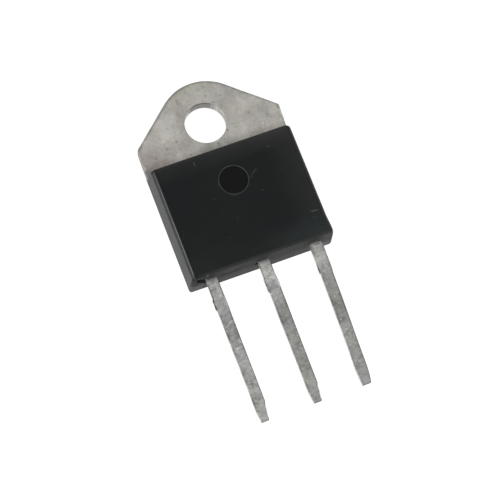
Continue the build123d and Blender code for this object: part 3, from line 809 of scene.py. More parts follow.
    cells = n.voronoi(3.0, "F1", n.stretch(1, 1, 0.3))
    keep = n.step(0.74, 0.82, n.voronoi(3.0, "F1", n.stretch(1, 1, 0.3), out="Color"))
    nick = n.mul(n.mul(n.mul(n.step(0.17, 0.04, cells), keep), 0.7), n.lerp(second, 1.0, 0.55))
    for cx, cy, r in (
        (-5.66, -23.60, 0.15), (-5.28, -17.95, 0.14), (0.45, -24.35, 0.10), (-0.42, -19.55, 0.14), (5.15, -24.3, 0.12),
        (5.45, -21.9, 0.10), (-0.30, -20.3, 0.09), (0.55, -25.25, 0.10),
    ):
        nick = n.mx(nick, n.blob(cx, cy, r * 0.5, r * 0.6))
    col = n.mix(n.mul(nick, 0.60), col, (0.92, 0.915, 0.88))
    thin = n.noise(1.0, 1.0, 0.5, n.stretch(1.6, 6.0, 1.0, turn=0.65))
    thin = n.mul(n.step(0.68, 0.75, thin), 0.6)
    thin2 = n.noise(1.0, 1.0, 0.5, n.stretch(5.0, 1.4, 1.0, (4, 2, 0), turn=0.5))
    thin = n.mul(n.mx(thin, n.mul(n.step(0.70, 0.77, thin2), 0.5)), n.lerp(second, 1.0, 0.65))
    col = n.mix(n.mul(thin, 0.6), col, (0.92, 0.92, 0.90))
    one = n.segment((-5.88, -21.20), (-4.97, -20.66), 0.065, 0.03)
    col = n.mix(n.mul(one, 0.85), col, (0.97, 0.97, 0.95))
    # painted shade in dark creases, and dark pits
    crack = n.step(0.050, 0.012, n.math("ABSOLUTE", n.sub(n.noise(0.75, 3.0, 0.65, n.stretch(1, 1.5, 1, (0, 3, 8))), 0.5)))
    crack = n.mul(crack, n.step(0.48, 0.60, n.noise(0.9, 1.0, 0.5, n.stretch(1, 1, 1, (6, 1, 3)))))
    fold = n.step(0.045, 0.010, n.math("ABSOLUTE", n.sub(n.noise(1.3, 2.0, 0.6, n.stretch(0.7, 1.9, 1, (5, 5, 1))), 0.5)))
    fold = n.mul(fold, n.step(0.54, 0.64, n.noise(1.1, 1.0, 0.5, n.stretch(1, 1, 1, (8, 3, 6)))))
    crack = n.mx(crack, n.mul(fold, 0.8))
    for p, q, w, k in (
        ((-5.95, -17.22), (-5.30, -17.05), 0.060, 1.0), ((-5.95, -16.62), (-5.35, -16.52), 0.050, 0.7),
        ((-5.85, -18.30), (-4.95, -18.38), 0.060, 0.5), ((-5.40, -18.72), (-5.20, -18.92), 0.110, 0.8),
    ):
        crack = n.mx(crack, n.mul(n.segment(p, q, w, 0.08), k))
    for cx, cy, r, w in ((-5.50, -17.10, 0.15, 0.7), (-5.70, -17.34, 0.30, 0.8), (5.40, -24.55, 0.16, 0.7), (5.75, -22.6, 0.13, 0.5), (0.02, -18.60, 0.16, 0.7)):
        crack = n.mx(crack, n.mul(n.blob(cx, cy, r * 0.5, r * 0.7), w))
    col = n.mix(n.mul(crack, 0.48), col, (0.20, 0.20, 0.185))
    # folds pressed across the left lead near the moulding, drawn as painted shade in the folds
    pleat = n.mx(n.segment((-6.03, -17.15), (-5.71, -17.18), 0.14, 0.07), n.mul(n.segment((-5.71, -17.18), (-5.31, -17.17), 0.09, 0.06), 0.9))
    pleat = n.mx(pleat, n.mul(n.segment((-5.94, -18.22), (-5.09, -18.49), 0.06, 0.05), 0.55))
    col = n.mix(n.mul(pleat, 0.62), col, (0.165, 0.165, 0.155))

    side = n.step(2.72, 2.60, n.z)
    streak = n.noise(1.0, 3.0, 0.7, n.stretch(10.0, 10.0, 1.2))
    col = n.mix(n.mul(side, 0.6), col, n.mix(streak, (0.55, 0.545, 0.53), (0.92, 0.91, 0.89)))
    # between the moulding and the stubs the left sides are painted darker: painted shade on that side
    shade = n.mul(n.band(n.y, -18.15, -16.40, 0.15), n.mul(n.step(-0.49, -0.55, u), n.sub(1.0, third)))
    col = n.mix(n.mul(shade, n.lerp(second, 0.78, 0.36)), col, (0.190, 0.190, 0.180))
    # torn dam-bar stubs: painted shade along the break on the left; bare bright metal on the right, brightened further
    # as a painted highlight
    stub = n.band(n.y, -19.25, -18.05, 0.12)
    stub_break_shade = n.mul(n.mul(stub, n.step(-0.565, -0.62, u)), n.step(0.36, 0.50, n.noise(2.4, 2.0)))
    col = n.mix(n.mul(stub_break_shade, n.lerp(centre_lead, 0.85, 0.45)), col, (0.085, 0.085, 0.075))
    bare = n.mul(n.mul(stub, n.step(0.40, 0.50, u)), n.mul(n.step(2.775, 2.72, n.z), n.sub(1.0, third)))
    # the coined chamfers at the tips: bright metal, brightened further as a painted highlight
    slope = n.mul(n.mul(n.band(n.y, -31.15, -29.65, 0.08), n.step(0.12, 0.24, u)), n.mul(n.step(2.775, 2.72, n.z), n.sub(1.0, third)))
    bare = n.mx(n.mul(bare, n.step(0.34, 0.46, n.noise(2.0, 2.0, 0.5, n.stretch(1, 1, 1, (6, 0, 0))))), slope)
    bare = n.mul(bare, n.step(2.205, 2.25, n.z))
    # the shear left a bright burnished rim along the front of the right-hand stubs, brightened further as a painted
    # highlight
    rim = n.mul(n.band(n.y, -19.15, -18.15, 0.14), n.mul(n.step(0.46, 0.53, u), n.sub(1.0, third)))
    rim = n.mul(n.mul(rim, n.step(2.68, 2.74, n.z)), n.remap(n.noise(2.6, 2.0), 0.34, 0.60, 0.55, 1.0))
    bare = n.mx(bare, n.mul(rim, 1.1))
    col = n.mix(n.mul(bare, 0.80), col, (0.965, 0.965, 0.95))
    # cut ends show the copper under the tin, gone dark
    end = n.mul(n.step(-31.16, -31.20, n.y), n.step(2.79, 2.74, n.z))
    col = n.mix(n.mul(end, 0.90), col, n.mix(streak, (0.10, 0.09, 0.075), (0.21, 0.19, 0.165)))

    rough = n.remap(cloud, 0.3, 0.7, 0.38, 0.52)
    rough = n.lerp(n.mx(nick, thin), rough, 0.30)
    rough = n.lerp(end, rough, 0.6)
    nrm = n.bump(grain, 0.0030, 0.7)
    nrm = n.bump(draw, 0.0040, 0.6, nrm)
    nrm = n.bump(cross, 0.0050, 0.6, nrm)
    nrm = n.bump(patch, 0.0055, 0.6, nrm)
    nrm = n.bump(n.sub(1.0, crack), 0.006, 0.6, nrm)
    return n.done(col, rough, nrm, metallic=1.0)


def solder():
    n = Nodes("solder_grey")
    a = n.noise(2.5, 4.0, 0.6)
    v = n.voronoi(5.0, "F1")
    col = n.mix(n.step(0.3, 0.7, a), (0.40, 0.40, 0.41), (0.62, 0.62, 0.63))
    col = n.mix(n.mul(n.step(0.25, 0.05, v), 0.3), col, (0.28, 0.28, 0.29))
    nrm = n.bump(a, 0.015, 0.7)
    return n.done(col, n.remap(a, 0.3, 0.7, 0.30, 0.50), nrm, metallic=1.0)


def alumina():
    n = Nodes("alumina_white")
    a = n.noise(1.2, 4.0, 0.6)
    g = n.noise(30.0, 2.0, 0.6)
    col = n.mix(n.step(0.3, 0.7, a), (0.78, 0.77, 0.73), (0.86, 0.855, 0.83))
    col = n.mix(n.mul(n.step(0.62, 0.75, g), 0.25), col, (0.62, 0.60, 0.56))
    nrm = n.bump(g, 0.004, 0.7)
    return n.done(col, n.remap(a, 0.3, 0.7, 0.45, 0.60), nrm, ior=1.76)


def silicon():
    n = Nodes("silicon_die")
    a = n.noise(0.9, 3.0, 0.5)
    edge = n.mx(
        n.step(3.05, 3.12, n.math("ABSOLUTE", n.x)),
        n.mx(n.step(-6.0, -5.93, n.y), n.step(-11.6, -11.67, n.y)),
    )
    col = n.mix(n.step(0.35, 0.65, a), (0.47, 0.47, 0.46), (0.60, 0.60, 0.59))
    col = n.mix(edge, col, (0.10, 0.11, 0.13))
    nrm = n.bump(n.noise(8.0, 2.0), 0.002, 0.6)
    return n.done(col, n.lerp(edge, 0.32, 0.16), nrm, metallic=0.6, ior=3.0)


def copper():
    n = Nodes("bare_copper")
    a = n.noise(1.1, 4.0, 0.6, distort=0.6)
    d = n.noise(1.0, 3.0, 0.6, n.stretch(10.0, 0.9, 1.0))
    col = n.mix(n.step(0.3, 0.7, a), (0.70, 0.36, 0.22), (0.88, 0.52, 0.36))
    col = n.mix(n.mul(n.step(0.58, 0.72, n.noise(0.7, 3.0)), 0.4), col, (0.36, 0.17, 0.10))
    nrm = n.bump(d, 0.005, 0.6)
    return n.done(col, n.remap(d, 0.3, 0.7, 0.28, 0.44), nrm, metallic=1.0)


MAT_EPOXY = epoxy()
MAT_PLATE = plating()
MAT_TIN = tinned()
MAT_SOLDER = solder()
MAT_ALUMINA = alumina()
MAT_SILICON = silicon()
MAT_COPPER = copper()

# ------------------------------------------------------------------ moulded body

THICK = 4.50
BACK_Z = 0.05


def side_in(z, side):
    """How far the wall stands in from its foot at height z. side: L, R, T or B."""
    if side == "L":
        v = z * math.tan(math.radians(2.9))
        v += max(0.0, z - 3.74) * 0.42
        r, squash = 0.25, 0.58
    elif side == "R":
        v = z * math.tan(math.radians(2.9))
        r, squash = 0.42, 1.0
    elif side == "T":
        v = max(0.0, z - 1.5) * math.tan(math.radians(7.0))
        r, squash = 0.20, 1.0
    else:
        v = z * math.tan(math.radians(0.5))
        r, squash = 0.28, 1.0
    if z > THICK - r:
        t = z - (THICK - r)
        v += (r - math.sqrt(max(0.0, r * r - t * t))) * squash
    return v


CORNERS = {"BR": 0.20, "TR": 0.40, "TL": 0.11, "BL": 0.30}
# numbers of divisions along each side and round each corner
DIV = {"B": 190, "R": 80, "T": 90, "L": 96, "c": 12}


def body_ring(z, foot_in=0.0):
    """Outline of the moulding at height z, anticlockwise from the lower left corner."""
    xl = -7.675 + side_in(z, "L") + foot_in
    xr = 7.675 - side_in(z, "R") - foot_in
    yt = -3.53 - side_in(z, "T") - foot_in
    yb = -16.055 + side_in(z, "B") + foot_in
    pts = []

    def side(p, q, k):
        for j in range(k):
            t = j / k
            pts.append((p[0] + (q[0] - p[0]) * t, p[1] + (q[1] - p[1]) * t))

    def corner(cx, cy, r, a0):
        for j in range(DIV["c"]):
            a = math.radians(a0 + 90.0 * j / DIV["c"])
            pts.append((cx + r * math.cos(a), cy + r * math.sin(a)))

    bl, br, tr, tl = (CORNERS[k] for k in ("BL", "BR", "TR", "TL"))
    # the lower right corner opens out towards the front face
    br += 0.22 * smooth(3.3, 4.45, z)
    side((xl + bl, yb), (xr - br, yb), DIV["B"])
    corner(xr - br, yb + br, br, -90)
    side((xr, yb + br), (xr, yt - tr), DIV["R"])
    corner(xr - tr, yt - tr, tr, 0)
    side((xr - tr, yt), (xl + tl, yt), DIV["T"])
    corner(xl + tl, yt - tl, tl, 90)
    side((xl, yt - tl), (xl, yb + bl), DIV["L"])
    corner(xl + bl, yb + bl, bl, 180)
    return np.array(pts)


def wall_recess(x, z):
    """Depth of the broken gate scar and of the small voids beside the leads,
    cut into the wall that the leads leave from."""
    d = 0.0
    # broken gate between the left corner and the first lead: a slot under a ragged lip
    # that falls to the right
    w = smooth(-7.04, -6.92, x) * (1 - smooth(-6.04, -5.97, x))
    if w > 0 and 1.9 < z < 4.2:
        lip_z = 4.08 - 0.72 * smooth(-7.1, -6.3, x)
        floor_z = lip_z - 1.00 + 0.12 * fbm(x * 2.3, 1.0, 5.0)
        inner = smooth(floor_z - 0.03, floor_z + 0.08, z) * (1 - smooth(lip_z - 0.05, lip_z + 0.03, z))
        d = max(d, (0.27 + 0.12 * fbm(x * 3.1, z * 3.1, 5.0)) * w * inner)
    # the wall dips towards it from the corner
    dip = smooth(-7.45, -7.0, x) * (1 - smooth(-6.1, -5.9, x)) * smooth(1.9, 2.9, z) * (1 - smooth(3.75, 3.95, z))
    d = max(d, 0.035 * dip)
    for k, (gap, low, top) in enumerate(((0.24, 1.95, 3.15), (0.32, 2.08, 2.78))):
        root = LEAD_X[k] - 0.565
        u = smooth(root - gap, root - gap * 0.55, x) * (1 - smooth(root + 0.04, root + 0.08, x))
        v = smooth(low, low + 0.15, z) * (1 - smooth(top - 0.12, top, z))
        d = max(d, 0.24 * u * v)
    return d


def body_rings():
    levels = [BACK_Z, BACK_Z + 0.012, BACK_Z + 0.05, 0.25, 0.5, 0.8, 1.1, 1.4, 1.5, 1.6, 1.8, 2.0]
    z = 2.1
    while z < 3.70:
        levels.append(round(z, 3))
        z += 0.07
    levels += [3.72, 3.77, 3.82, 3.88, 3.95, 4.02, 4.09, 4.15, 4.20]
    r = 0.30
    levels += [THICK - r + r * math.sin(math.radians(a)) for a in range(12, 91, 6)]
    levels = sorted(set(round(v, 5) for v in levels))
    rings = []
    for z in levels:
        foot = 0.012 * (1 - smooth(0.0, 0.05, z - BACK_Z))
        ring2 = body_ring(z, foot)
        nrm = normals(ring2)
        out = []
        for (x, y), (nx, ny) in zip(ring2, nrm):
            d = 0.0
            if z < 4.45:
                # cavity-wall texture large enough to catch the light, always inwards
                d += 0.006 * (0.5 + 0.5 * fbm(x * 1.3, y * 1.3, z * 1.3))
                d += 0.004 * (0.5 + 0.5 * fbm(x * 6, y * 6, z * 6, 2))
            # fine parting line at the plane of the leads
            d -= 0.005 * math.exp(-((z - 2.80) / 0.05) ** 2)
            # a worn bead along the upper left edge
            if nx < -0.7:
                d -= 0.020 * math.exp(-((z - 4.25) / 0.05) ** 2)
            if ny < -0.97:
                d += wall_recess(x, z)
                d += 0.014 * (x / 7.2) ** 2
            if ny > 0.97 and z > 1.6:
                # the end wall runs very slightly askew, and bows out a little
                d -= (0.015 * (1 + x / 7.0) + 0.004 * (1 - (x / 7.3) ** 2)) * smooth(1.6, 2.4, z)
            d = max(d, -0.004 if z < 4.0 and ny < 0.9 else -0.034)
            # the right side swells a little towards the lower corner
            d -= 0.080 * max(0.0, nx) * (1 - smooth(-15.5, -14.0, y)) * smooth(0.1, 0.5, z)
            out.append((x - nx * d, y - ny * d, z))
        rings.append(np.array(out))
    return rings


def face_z(x, y):
    """Height of the front face: slight sink, and the ejector-pin mark."""
    z = THICK
    z -= 0.006 * (0.5 + 0.5 * fbm(x * 0.25, y * 0.25, 2.0, 2))
    z -= 0.0015 * (0.5 + 0.5 * fbm(x * 1.7, y * 1.7, 8.0, 2))
    r = math.hypot(x - MARK[0], y - MARK[1])
    if r < 1.60:
        prof = [(0, -0.018), (1.34, -0.018), (1.40, -0.040), (1.46, -0.040), (1.50, 0.002), (1.54, 0.002), (1.60, 0.0)]
        z += float(np.interp(r, [p[0] for p in prof], [p[1] for p in prof]))
    return min(z, THICK)


def build_body():
    rings = body_rings()
    top = rings[-1][:, :2]
    bottom = rings[0][:, :2]
    circles = []
    for r in (1.30, 1.34, 1.40, 1.46, 1.50, 1.54, 1.60):
        a = np.linspace(0, 2 * math.pi, 128, endpoint=False)
        circles.append(np.stack([MARK[0] + r * np.cos(a), MARK[1] + r * np.sin(a)], axis=1))
    extra_top = scatter(top, [], 0.20, 0.07, circles, seed=5)
    # the outline of the face meets the flat face at its own height
    extra_bottom = scatter(bottom, [], 0.6, 0.25, seed=6)

    def height(x, y):
        d = min(6.97 - abs(x), -3.9 - y + 0.15, y + 15.74)
        return THICK - (THICK - face_z(x, y)) * smooth(0.0, 0.35, d)

    verts, faces = closed_plate(
        rings, [], (extra_top, circles, height), (extra_bottom, [], lambda x, y: BACK_Z)
    )
    return make_mesh("body_shell", verts, faces, MAT_EPOXY, 40)


# ------------------------------------------------------------------ heatsink tab

NX, NY, DD = 0.6595, 0.7517, 4.7407
ARC_R, ARC_Y = 5.17, -0.57


def shoulder(x):
    return (DD - abs(x) * NX) / NY


def tab_loops():
    """Plan outline, anticlockwise, as two matching lists: at the back (lower) and
    inside the moulding's keyed flange (upper)."""
    tx, ty = ARC_R * NX, ARC_Y + ARC_R * NY
    right_top = (7.872, shoulder(7.872))
    left_top = (-7.595, shoulder(7.595))
    outer = []
    a0 = math.atan2(ty - ARC_Y, tx)
    arc = []
    k = 90
    for j in range(k + 1):
        a = a0 + (math.pi - 2 * a0) * j / k
        arc.append((ARC_R * math.cos(a), ARC_Y + ARC_R * math.sin(a)))
    ctrl = [(7.735, -3.53), right_top] + arc + [left_top, (-7.675, -3.53)]
    radii = [0.0, 0.06] + [0.0] * len(arc) + [0.42, 0.0]
    # only the two shoulders are rounded: rounded() works on a closed outline, so the
    # inner end is added for it and dropped again
    closed = ctrl + [(-6.90, -4.10), (6.93, -4.10)]
    radii += [0.0, 0.0]
    pts = rounded(closed, radii, 0.04)
    pts = pts[:-2]
    exposed = resample(pts, 0.09)
    # drop the points that resample added along the closing edge
    keep = exposed[exposed[:, 1] >= -3.531]
    last = [i for i in range(len(keep)) if abs(keep[i][0] + 7.675) < 1e-6 and abs(keep[i][1] + 3.53) < 1e-6]
    keep = keep[: last[0] + 1]
    upper, lower = [], []
    for p in keep:
        upper.append(tuple(p))
        lower.append(tuple(p))

    def run(up, lo, k):
        """Adds k points along an edge, both versions, not counting its start."""
        u0, l0 = np.array(upper[-1]), np.array(lower[-1])
        for j in range(1, k + 1):
            t = j / k
            upper.append(tuple(u0 + (np.array(up) - u0) * t))
            lower.append(tuple(l0 + (np.array(lo) - l0) * t))

    run((-6.90, -4.10), (-6.90, -4.10), 6)
    run((-6.75, -4.25), (-6.35, -4.25), 2)
    run((-6.75, -14.40), (-6.35, -14.00), 60)
    run((6.75, -14.40), (6.35, -14.00), 80)
    run((6.75, -4.25), (6.35, -4.25), 60)
    run((6.93, -4.10), (6.93, -4.10), 2)
    u0 = np.array(upper[-1])
    for j in range(1, 6):
        p = u0 + (np.array((7.735, -3.53)) - u0) * (j / 6)
        upper.append(tuple(p))
        lower.append(tuple(p))
    return np.array(lower), np.array(upper)


def build_tab():
    lower, upper = tab_loops()
    n_lo, n_up = normals(lower), normals(upper)
    exposed = upper[:, 1] > -3.40
    roll_w = np.zeros(len(upper))
    roll_d = np.zeros(len(upper))
    rough_in = np.zeros(len(upper))
    for i, (p, q) in enumerate(zip(upper, n_up)):
        if not exposed[i]:
            continue
        fade = smooth(-3.40, -3.05, p[1])
        if abs(q[0]) > 0.95 and p[1] < -0.2:      # sheared sides
            roll_w[i] = 0.09 * fade
            roll_d[i] = 0.05 * fade
        else:                                     # blanked outline: wide die roll
            left = smooth(0.3, -0.5, q[0])
            roll_w[i] = (0.30 + 0.08 * left) * fade
            roll_d[i] = (0.090 + 0.045 * left) * fade
    # even the change from one kind of edge to the next
    for arr in (roll_w, roll_d):
        for _ in range(4):
            arr[:] = (np.roll(arr, 1) + arr + np.roll(arr, -1)) / 3

    def side_shift(p, q, z):
        """Raggedness of the sheared sides and the step left by the tie bar, inwards."""
        if p[1] < -3.45 or p[1] > 4.7:
            return 0.0
        d = (0.004 if q[0] > 0.95 else 0.012) * (0.5 + 0.5 * fbm(p[0] * 2.2, p[1] * 2.2, z * 1.5))
        if abs(q[0]) > 0.95 and p[1] < -0.1:
            w = smooth(-3.45, -3.1, p[1])
            d += w * 0.010 * (0.5 + 0.5 * fbm(p[0] * 5, p[1] * 7, z * 2.0))
            if q[0] > 0:
                # tie bar torn off: a notch below it, the lower half breaks away more
                d += w * 0.030 * math.exp(-((p[1] + 1.60) / 0.16) ** 2)
                d += w * 0.020 * smooth(-1.95, -2.5, p[1])
                d += w * 0.050 * smooth(0.95, 0.55, z) * math.exp(-((p[1] + 1.0) / 0.5) ** 2)
            else:
                d += w * 0.012 * smooth(0.9, 0.5, z)
                d += w * 0.020 * math.exp(-((p[1] + 2.75) / 0.12) ** 2)
        else:
            # the left slope was sheared a little deeper than the right one
            d += 0.045 * smooth(-0.25, -0.55, q[0]) - 0.035 * smooth(4.8, 6.2, p[0]) * smooth(7.90, 7.80, p[0])
        return d

    def ring(loop, nrm, z, inset):
        out = []
        for i, (p, q) in enumerate(zip(loop, nrm)):
            d = inset[i] + side_shift(p, q, z)
            out.append((p[0] - q[0] * d, p[1] - q[1] * d, z))
        return np.array(out)

    zero = np.zeros(len(upper))
    rings = [ring(lower, n_lo, 0.0, zero + 0.02), ring(lower, n_lo, 0.015, zero + 0.004)]
    for z in (0.10, 0.25, 0.40, 0.55, 0.70, 0.85):
        rings.append(ring(lower, n_lo, z, zero))
    for z in (0.851, 0.95, 1.05, 1.15, 1.25):
        rings.append(ring(upper, n_up, z, zero))
    # die roll: elliptical section
    for a in (0, 12, 24, 36, 48, 60, 70, 80, 90):
        t = math.radians(a)
        out = []
        for i, (p, q) in enumerate(zip(upper, n_up)):
            d = roll_w[i] * (1 - math.cos(t)) + side_shift(p, q, 1.4)
            z = 1.5 - roll_d[i] * (1 - math.sin(t))
            if roll_d[i] < 1e-4:
                z = 1.30 + 0.20 * a / 90
            out.append((p[0] - q[0] * d, p[1] - q[1] * d, z))
        rings.append(np.array(out))

    # hole, clockwise
    m = 220
    ang = -np.linspace(0, 2 * math.pi, m, endpoint=False)
    hole = []

    def hole_ring(r, z, ragged=0.0):
        out = []
        for a in ang:
            rr = r - ragged * (0.5 + 0.5 * fbm(math.cos(a) * 6, math.sin(a) * 6, z * 1.2))
            out.append((rr * math.cos(a), rr * math.sin(a), z))
        return np.array(out)

    hole.append(hole_ring(2.20, 0.0))
    hole.append(hole_ring(2.185, 0.015))
    for z in (0.10, 0.22, 0.34, 0.46, 0.58):
        hole.append(hole_ring(2.182, z, 0.030))
    for z in (0.70, 0.85, 1.00, 1.15, 1.30):
        hole.append(hole_ring(2.172, z, 0.006))
    for a in (10, 22, 34, 46, 58, 70, 80, 90):
        t = math.radians(a)
        out = []
        for b in ang:
            # wider roll on the upper left, where the punch entered off square
            k = 0.5 + 0.5 * math.cos(b - math.radians(120))
            w, h = 0.035 + 0.045 * k, 0.03 + 0.035 * k
            rr = 2.172 + w * (1 - math.cos(t))
            out.append((rr * math.cos(b), rr * math.sin(b), 1.5 - h * (1 - math.sin(t))))
        hole.append(np.array(out))

    top = rings[-1][:, :2]
    bottom = rings[0][:, :2]
    extra_top = scatter(top, [hole[-1][:, :2]], 0.22, 0.10, seed=8)
    extra_bottom = scatter(bottom, [hole[0][:, :2]], 0.30, 0.13, seed=9)

    def top_z(x, y):
        """Very slight waviness of the stamped plate."""
        r = math.hypot(x, y)
        w = smooth(2.45, 3.0, r) * smooth(-3.3, -2.8, y)
        w *= smooth(0.0, 0.8, 4.5 - r) if r > 3.7 else 1.0
        return 1.5 - 0.010 * w * (0.5 + 0.5 * fbm(x * 0.7, y * 0.7, 4.0, 2))

    verts, faces = closed_plate(
        rings, hole and [hole], (extra_top, [], top_z), (extra_bottom, [], lambda x, y: 0.0)
    )
    return make_mesh("tab_plate", verts, faces, MAT_PLATE, 38)


# ------------------------------------------------------------------ leads

# (y, left edge, right edge) measured from each lead's own centre line
STATIONS = (
    (
        (-15.74, -0.580, 0.580), (-16.10, -0.590, 0.580), (-16.60, -0.605, 0.590), (-17.20, -0.630, 0.592), (-17.90, -0.625, 0.600),
        (-18.02, -0.680, 0.660), (-18.25, -0.755, 0.715), (-18.75, -0.750, 0.715), (-19.10, -0.735, 0.700),
        (-19.30, -0.690, 0.665), (-19.62, -0.635, 0.620), (-20.2, -0.615, 0.610), (-22.5, -0.630, 0.606),
        (-25.0, -0.605, 0.610), (-27.5, -0.595, 0.608), (-29.30, -0.635, 0.606), (-30.2, -0.620, 0.545),
        (-30.95, -0.545, 0.430), (-31.25, -0.480, 0.320),
    ),
    (
        (-15.74, -0.580, 0.580), (-16.10, -0.595, 0.590), (-16.60, -0.625, 0.600), (-17.20, -0.635, 0.608), (-17.75, -0.650, 0.612),
        (-17.95, -0.740, 0.660), (-18.30, -0.730, 0.790), (-18.80, -0.735, 0.780), (-19.10, -0.730, 0.740),
        (-19.30, -0.670, 0.680), (-19.60, -0.615, 0.650), (-20.2, -0.605, 0.658), (-22.5, -0.628, 0.642),
        (-25.0, -0.600, 0.628), (-27.5, -0.590, 0.620), (-29.35, -0.618, 0.618), (-30.2, -0.575, 0.600),
        (-30.95, -0.485, 0.480), (-31.25, -0.420, 0.380),
    ),
    (
        (-15.74, -0.580, 0.580), (-16.10, -0.600, 0.640), (-16.60, -0.670, 0.700), (-17.20, -0.665, 0.705), (-17.75, -0.655, 0.705),
        (-17.95, -0.668, 0.725), (-18.30, -0.695, 0.775), (-18.80, -0.705, 0.780), (-19.15, -0.690, 0.765),
        (-19.35, -0.635, 0.700), (-19.60, -0.605, 0.670), (-20.2, -0.595, 0.672), (-22.5, -0.572, 0.672),
        (-25.0, -0.568, 0.652), (-27.5, -0.560, 0.632), (-29.45, -0.610, 0.635), (-30.2, -0.558, 0.600),
        (-30.95, -0.500, 0.515), (-31.25, -0.445, 0.455),
    ),
)
# inner posts, from the right root to the left root, anticlockwise
POSTS = (
    [(-4.895, -15.35), (-4.25, -15.05), (-4.25, -13.20), (-6.55, -13.20), (-6.55, -15.05), (-6.025, -15.35)],
    [(0.675, -15.10), (1.21, -14.50), (1.21, -12.45), (4.55, -12.45), (4.55, -5.10), (-4.55, -5.10), (-4.55, -12.45),
     (-0.99, -12.45), (-0.99, -14.50), (-0.455, -15.10)],
    [(6.245, -15.35), (6.60, -15.05), (6.60, -13.20), (4.55, -13.20), (4.55, -15.05), (5.115, -15.35)],
)
NAMES = ("lead_left", "lead_centre", "lead_right")
LEAD_NODES = ("lead_main_1", "lead_main_2", "lead_gate")
Z0, Z1 = 2.20, 2.80


def lead_outline(k):
    xc, lean = LEAD_X[k], LEAD_LEAN[k]

    def at(y, off):
        return (xc + lean * max(0.0, -16.14 - y) + off, y)

    st = STATIONS[k]
    left = [at(y, l) for y, l, _ in st]
    right = [at(y, r) for y, _, r in st]
    pts = left + right[::-1] + POSTS[k]
    radii = []
    for i in range(len(pts)):
        y = pts[i][1]
        if y < -31.2:
            radii.append(0.07)
        elif y < -15.5:
            radii.append(0.10 if (-18.3 < y < -17.5 or -19.7 < y < -19.05) else 0.6)
        else:
            radii.append(0.0)
    return rounded(pts, radii, 0.05)


def build_lead(k):
    base = lead_outline(k)
    loop = resample(base, lambda m: 0.075 if m[1] < -15.7 else 0.5)
    nrm = normals(loop)
    # along the shank every inset goes straight across, so that steps keep their place
    for i, (p, q) in enumerate(zip(loop, nrm)):
        w = smooth(-31.10, -30.80, p[1]) * smooth(-15.95, -16.15, p[1])
        if w > 0:
            d = np.array((math.copysign(1.0, q[0]), 0.0)) * w + q * (1 - w)
            nrm[i] = d / np.linalg.norm(d)

    def jag(p, q, z):
        """Raggedness of the cut edges, always inwards."""
        if p[1] > -16.3:
            return 0.0
        d = 0.010 * (0.5 + 0.5 * fbm(p[0] * 1.5, p[1] * 1.5, z))
        d += 0.006 * (0.5 + 0.5 * fbm(p[0] * 5, p[1] * 5, z * 3, 2))
        if -19.5 < p[1] < -17.9:                      # torn dam-bar stubs
            d += 0.030 * (0.5 + 0.5 * fbm(p[0] * 4, p[1] * 4 + 11 * k, z * 2))
            if q[0] < 0:
                d += 0.03 * smooth(2.55, 2.35, z)
        return d

    def bevel(p, q, z):
        """Steep coined chamfer on the right-hand side: at the tips of the left and
        centre leads, and on the dam-bar stubs."""
        if q[0] < 0.5:
            return 0.0
        w = 0.0
        if k < 2:
            w = 0.125 * smooth(-29.35, -29.85, p[1]) * smooth(-31.22, -30.9, p[1])
        w = max(w, (0.075, 0.085, 0.040)[k] * smooth(-17.95, -18.2, p[1]) * smooth(-19.45, -18.9, p[1]))
        return w * smooth(2.36, 2.74, z)

    def bow(x, y):
        """Gentle unevenness along each lead, within its thickness."""
        if y > -16.4:
            return 0.0
        w = smooth(-16.4, -17.2, y)
        v = 0.5 + 0.5 * fbm(3.1 * k, y * 0.55, 1.0, 2)
        v2 = 0.5 + 0.5 * fbm(x * 1.1 + 9 * k, y * 1.1, 3.0, 2)
        return w * (0.018 * v + 0.010 * v2)

    prof = [(Z0, 0.045), (Z0 + 0.015, 0.020), (Z0 + 0.05, 0.004), (Z0 + 0.15, 0.0), (Z0 + 0.25, 0.0),
            (Z0 + 0.35, 0.0), (Z0 + 0.45, 0.0)]
    for a in (0, 15, 30, 45, 60, 75, 90):
        t = math.radians(a)
        prof.append((Z1 - 0.085 * (1 - math.sin(t)), 0.105 * (1 - math.cos(t))))
    rings = []
    for z, inset in prof:
        out = []
        for p, q in zip(loop, nrm):
            e = inset * smooth(-15.80, -15.98, p[1])
            if z > 2.6:
                e *= 1.0 - 0.75 * smooth(-30.80, -31.05, p[1])
            d = e + jag(p, q, z) + bevel(p, q, z)
            x, y = p[0] - q[0] * d, p[1] - q[1] * d
            top = smooth(Z0 + 0.2, Z1, z)
            low = 1 - smooth(Z0, Z0 + 0.3, z)
            zz = z - bow(x, y) * top + 0.6 * bow(x + 2.0, y) * low
            out.append((x, y, zz))
        rings.append(np.array(out))
    top = rings[-1][:, :2]
    bottom = rings[0][:, :2]
    ext_t = scatter(top, [], 0.13, 0.055, seed=20 + k)
    ext_t = np.array([p for p in ext_t if p[1] < -15.9 or (int(p[0] * 7.7) % 3 == 0 and int(p[1] * 7.7) % 3 == 0)])
    ext_b = scatter(bottom, [], 0.16, 0.06, seed=30 + k)
    ext_b = np.array([p for p in ext_b if p[1] < -15.9 or (int(p[0] * 7.7) % 3 == 0 and int(p[1] * 7.7) % 3 == 0)])
    verts, faces = closed_plate(
        rings, [],
        (ext_t, [], lambda x, y: Z1 - bow(x, y)),
        (ext_b, [], lambda x, y: Z0 + 0.6 * bow(x + 2.0, y)),
    )
    return make_mesh(NAMES[k], verts, faces, MAT_TIN, 38)


body = build_body()
tab = build_tab()
leads = [build_lead(k) for k in range(3)]

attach(body, "root")
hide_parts("moulded_body")
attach(tab, "root")
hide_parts("heatsink_tab")
for obj, node in zip(leads, LEAD_NODES):
    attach(obj, "root")
    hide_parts(node)

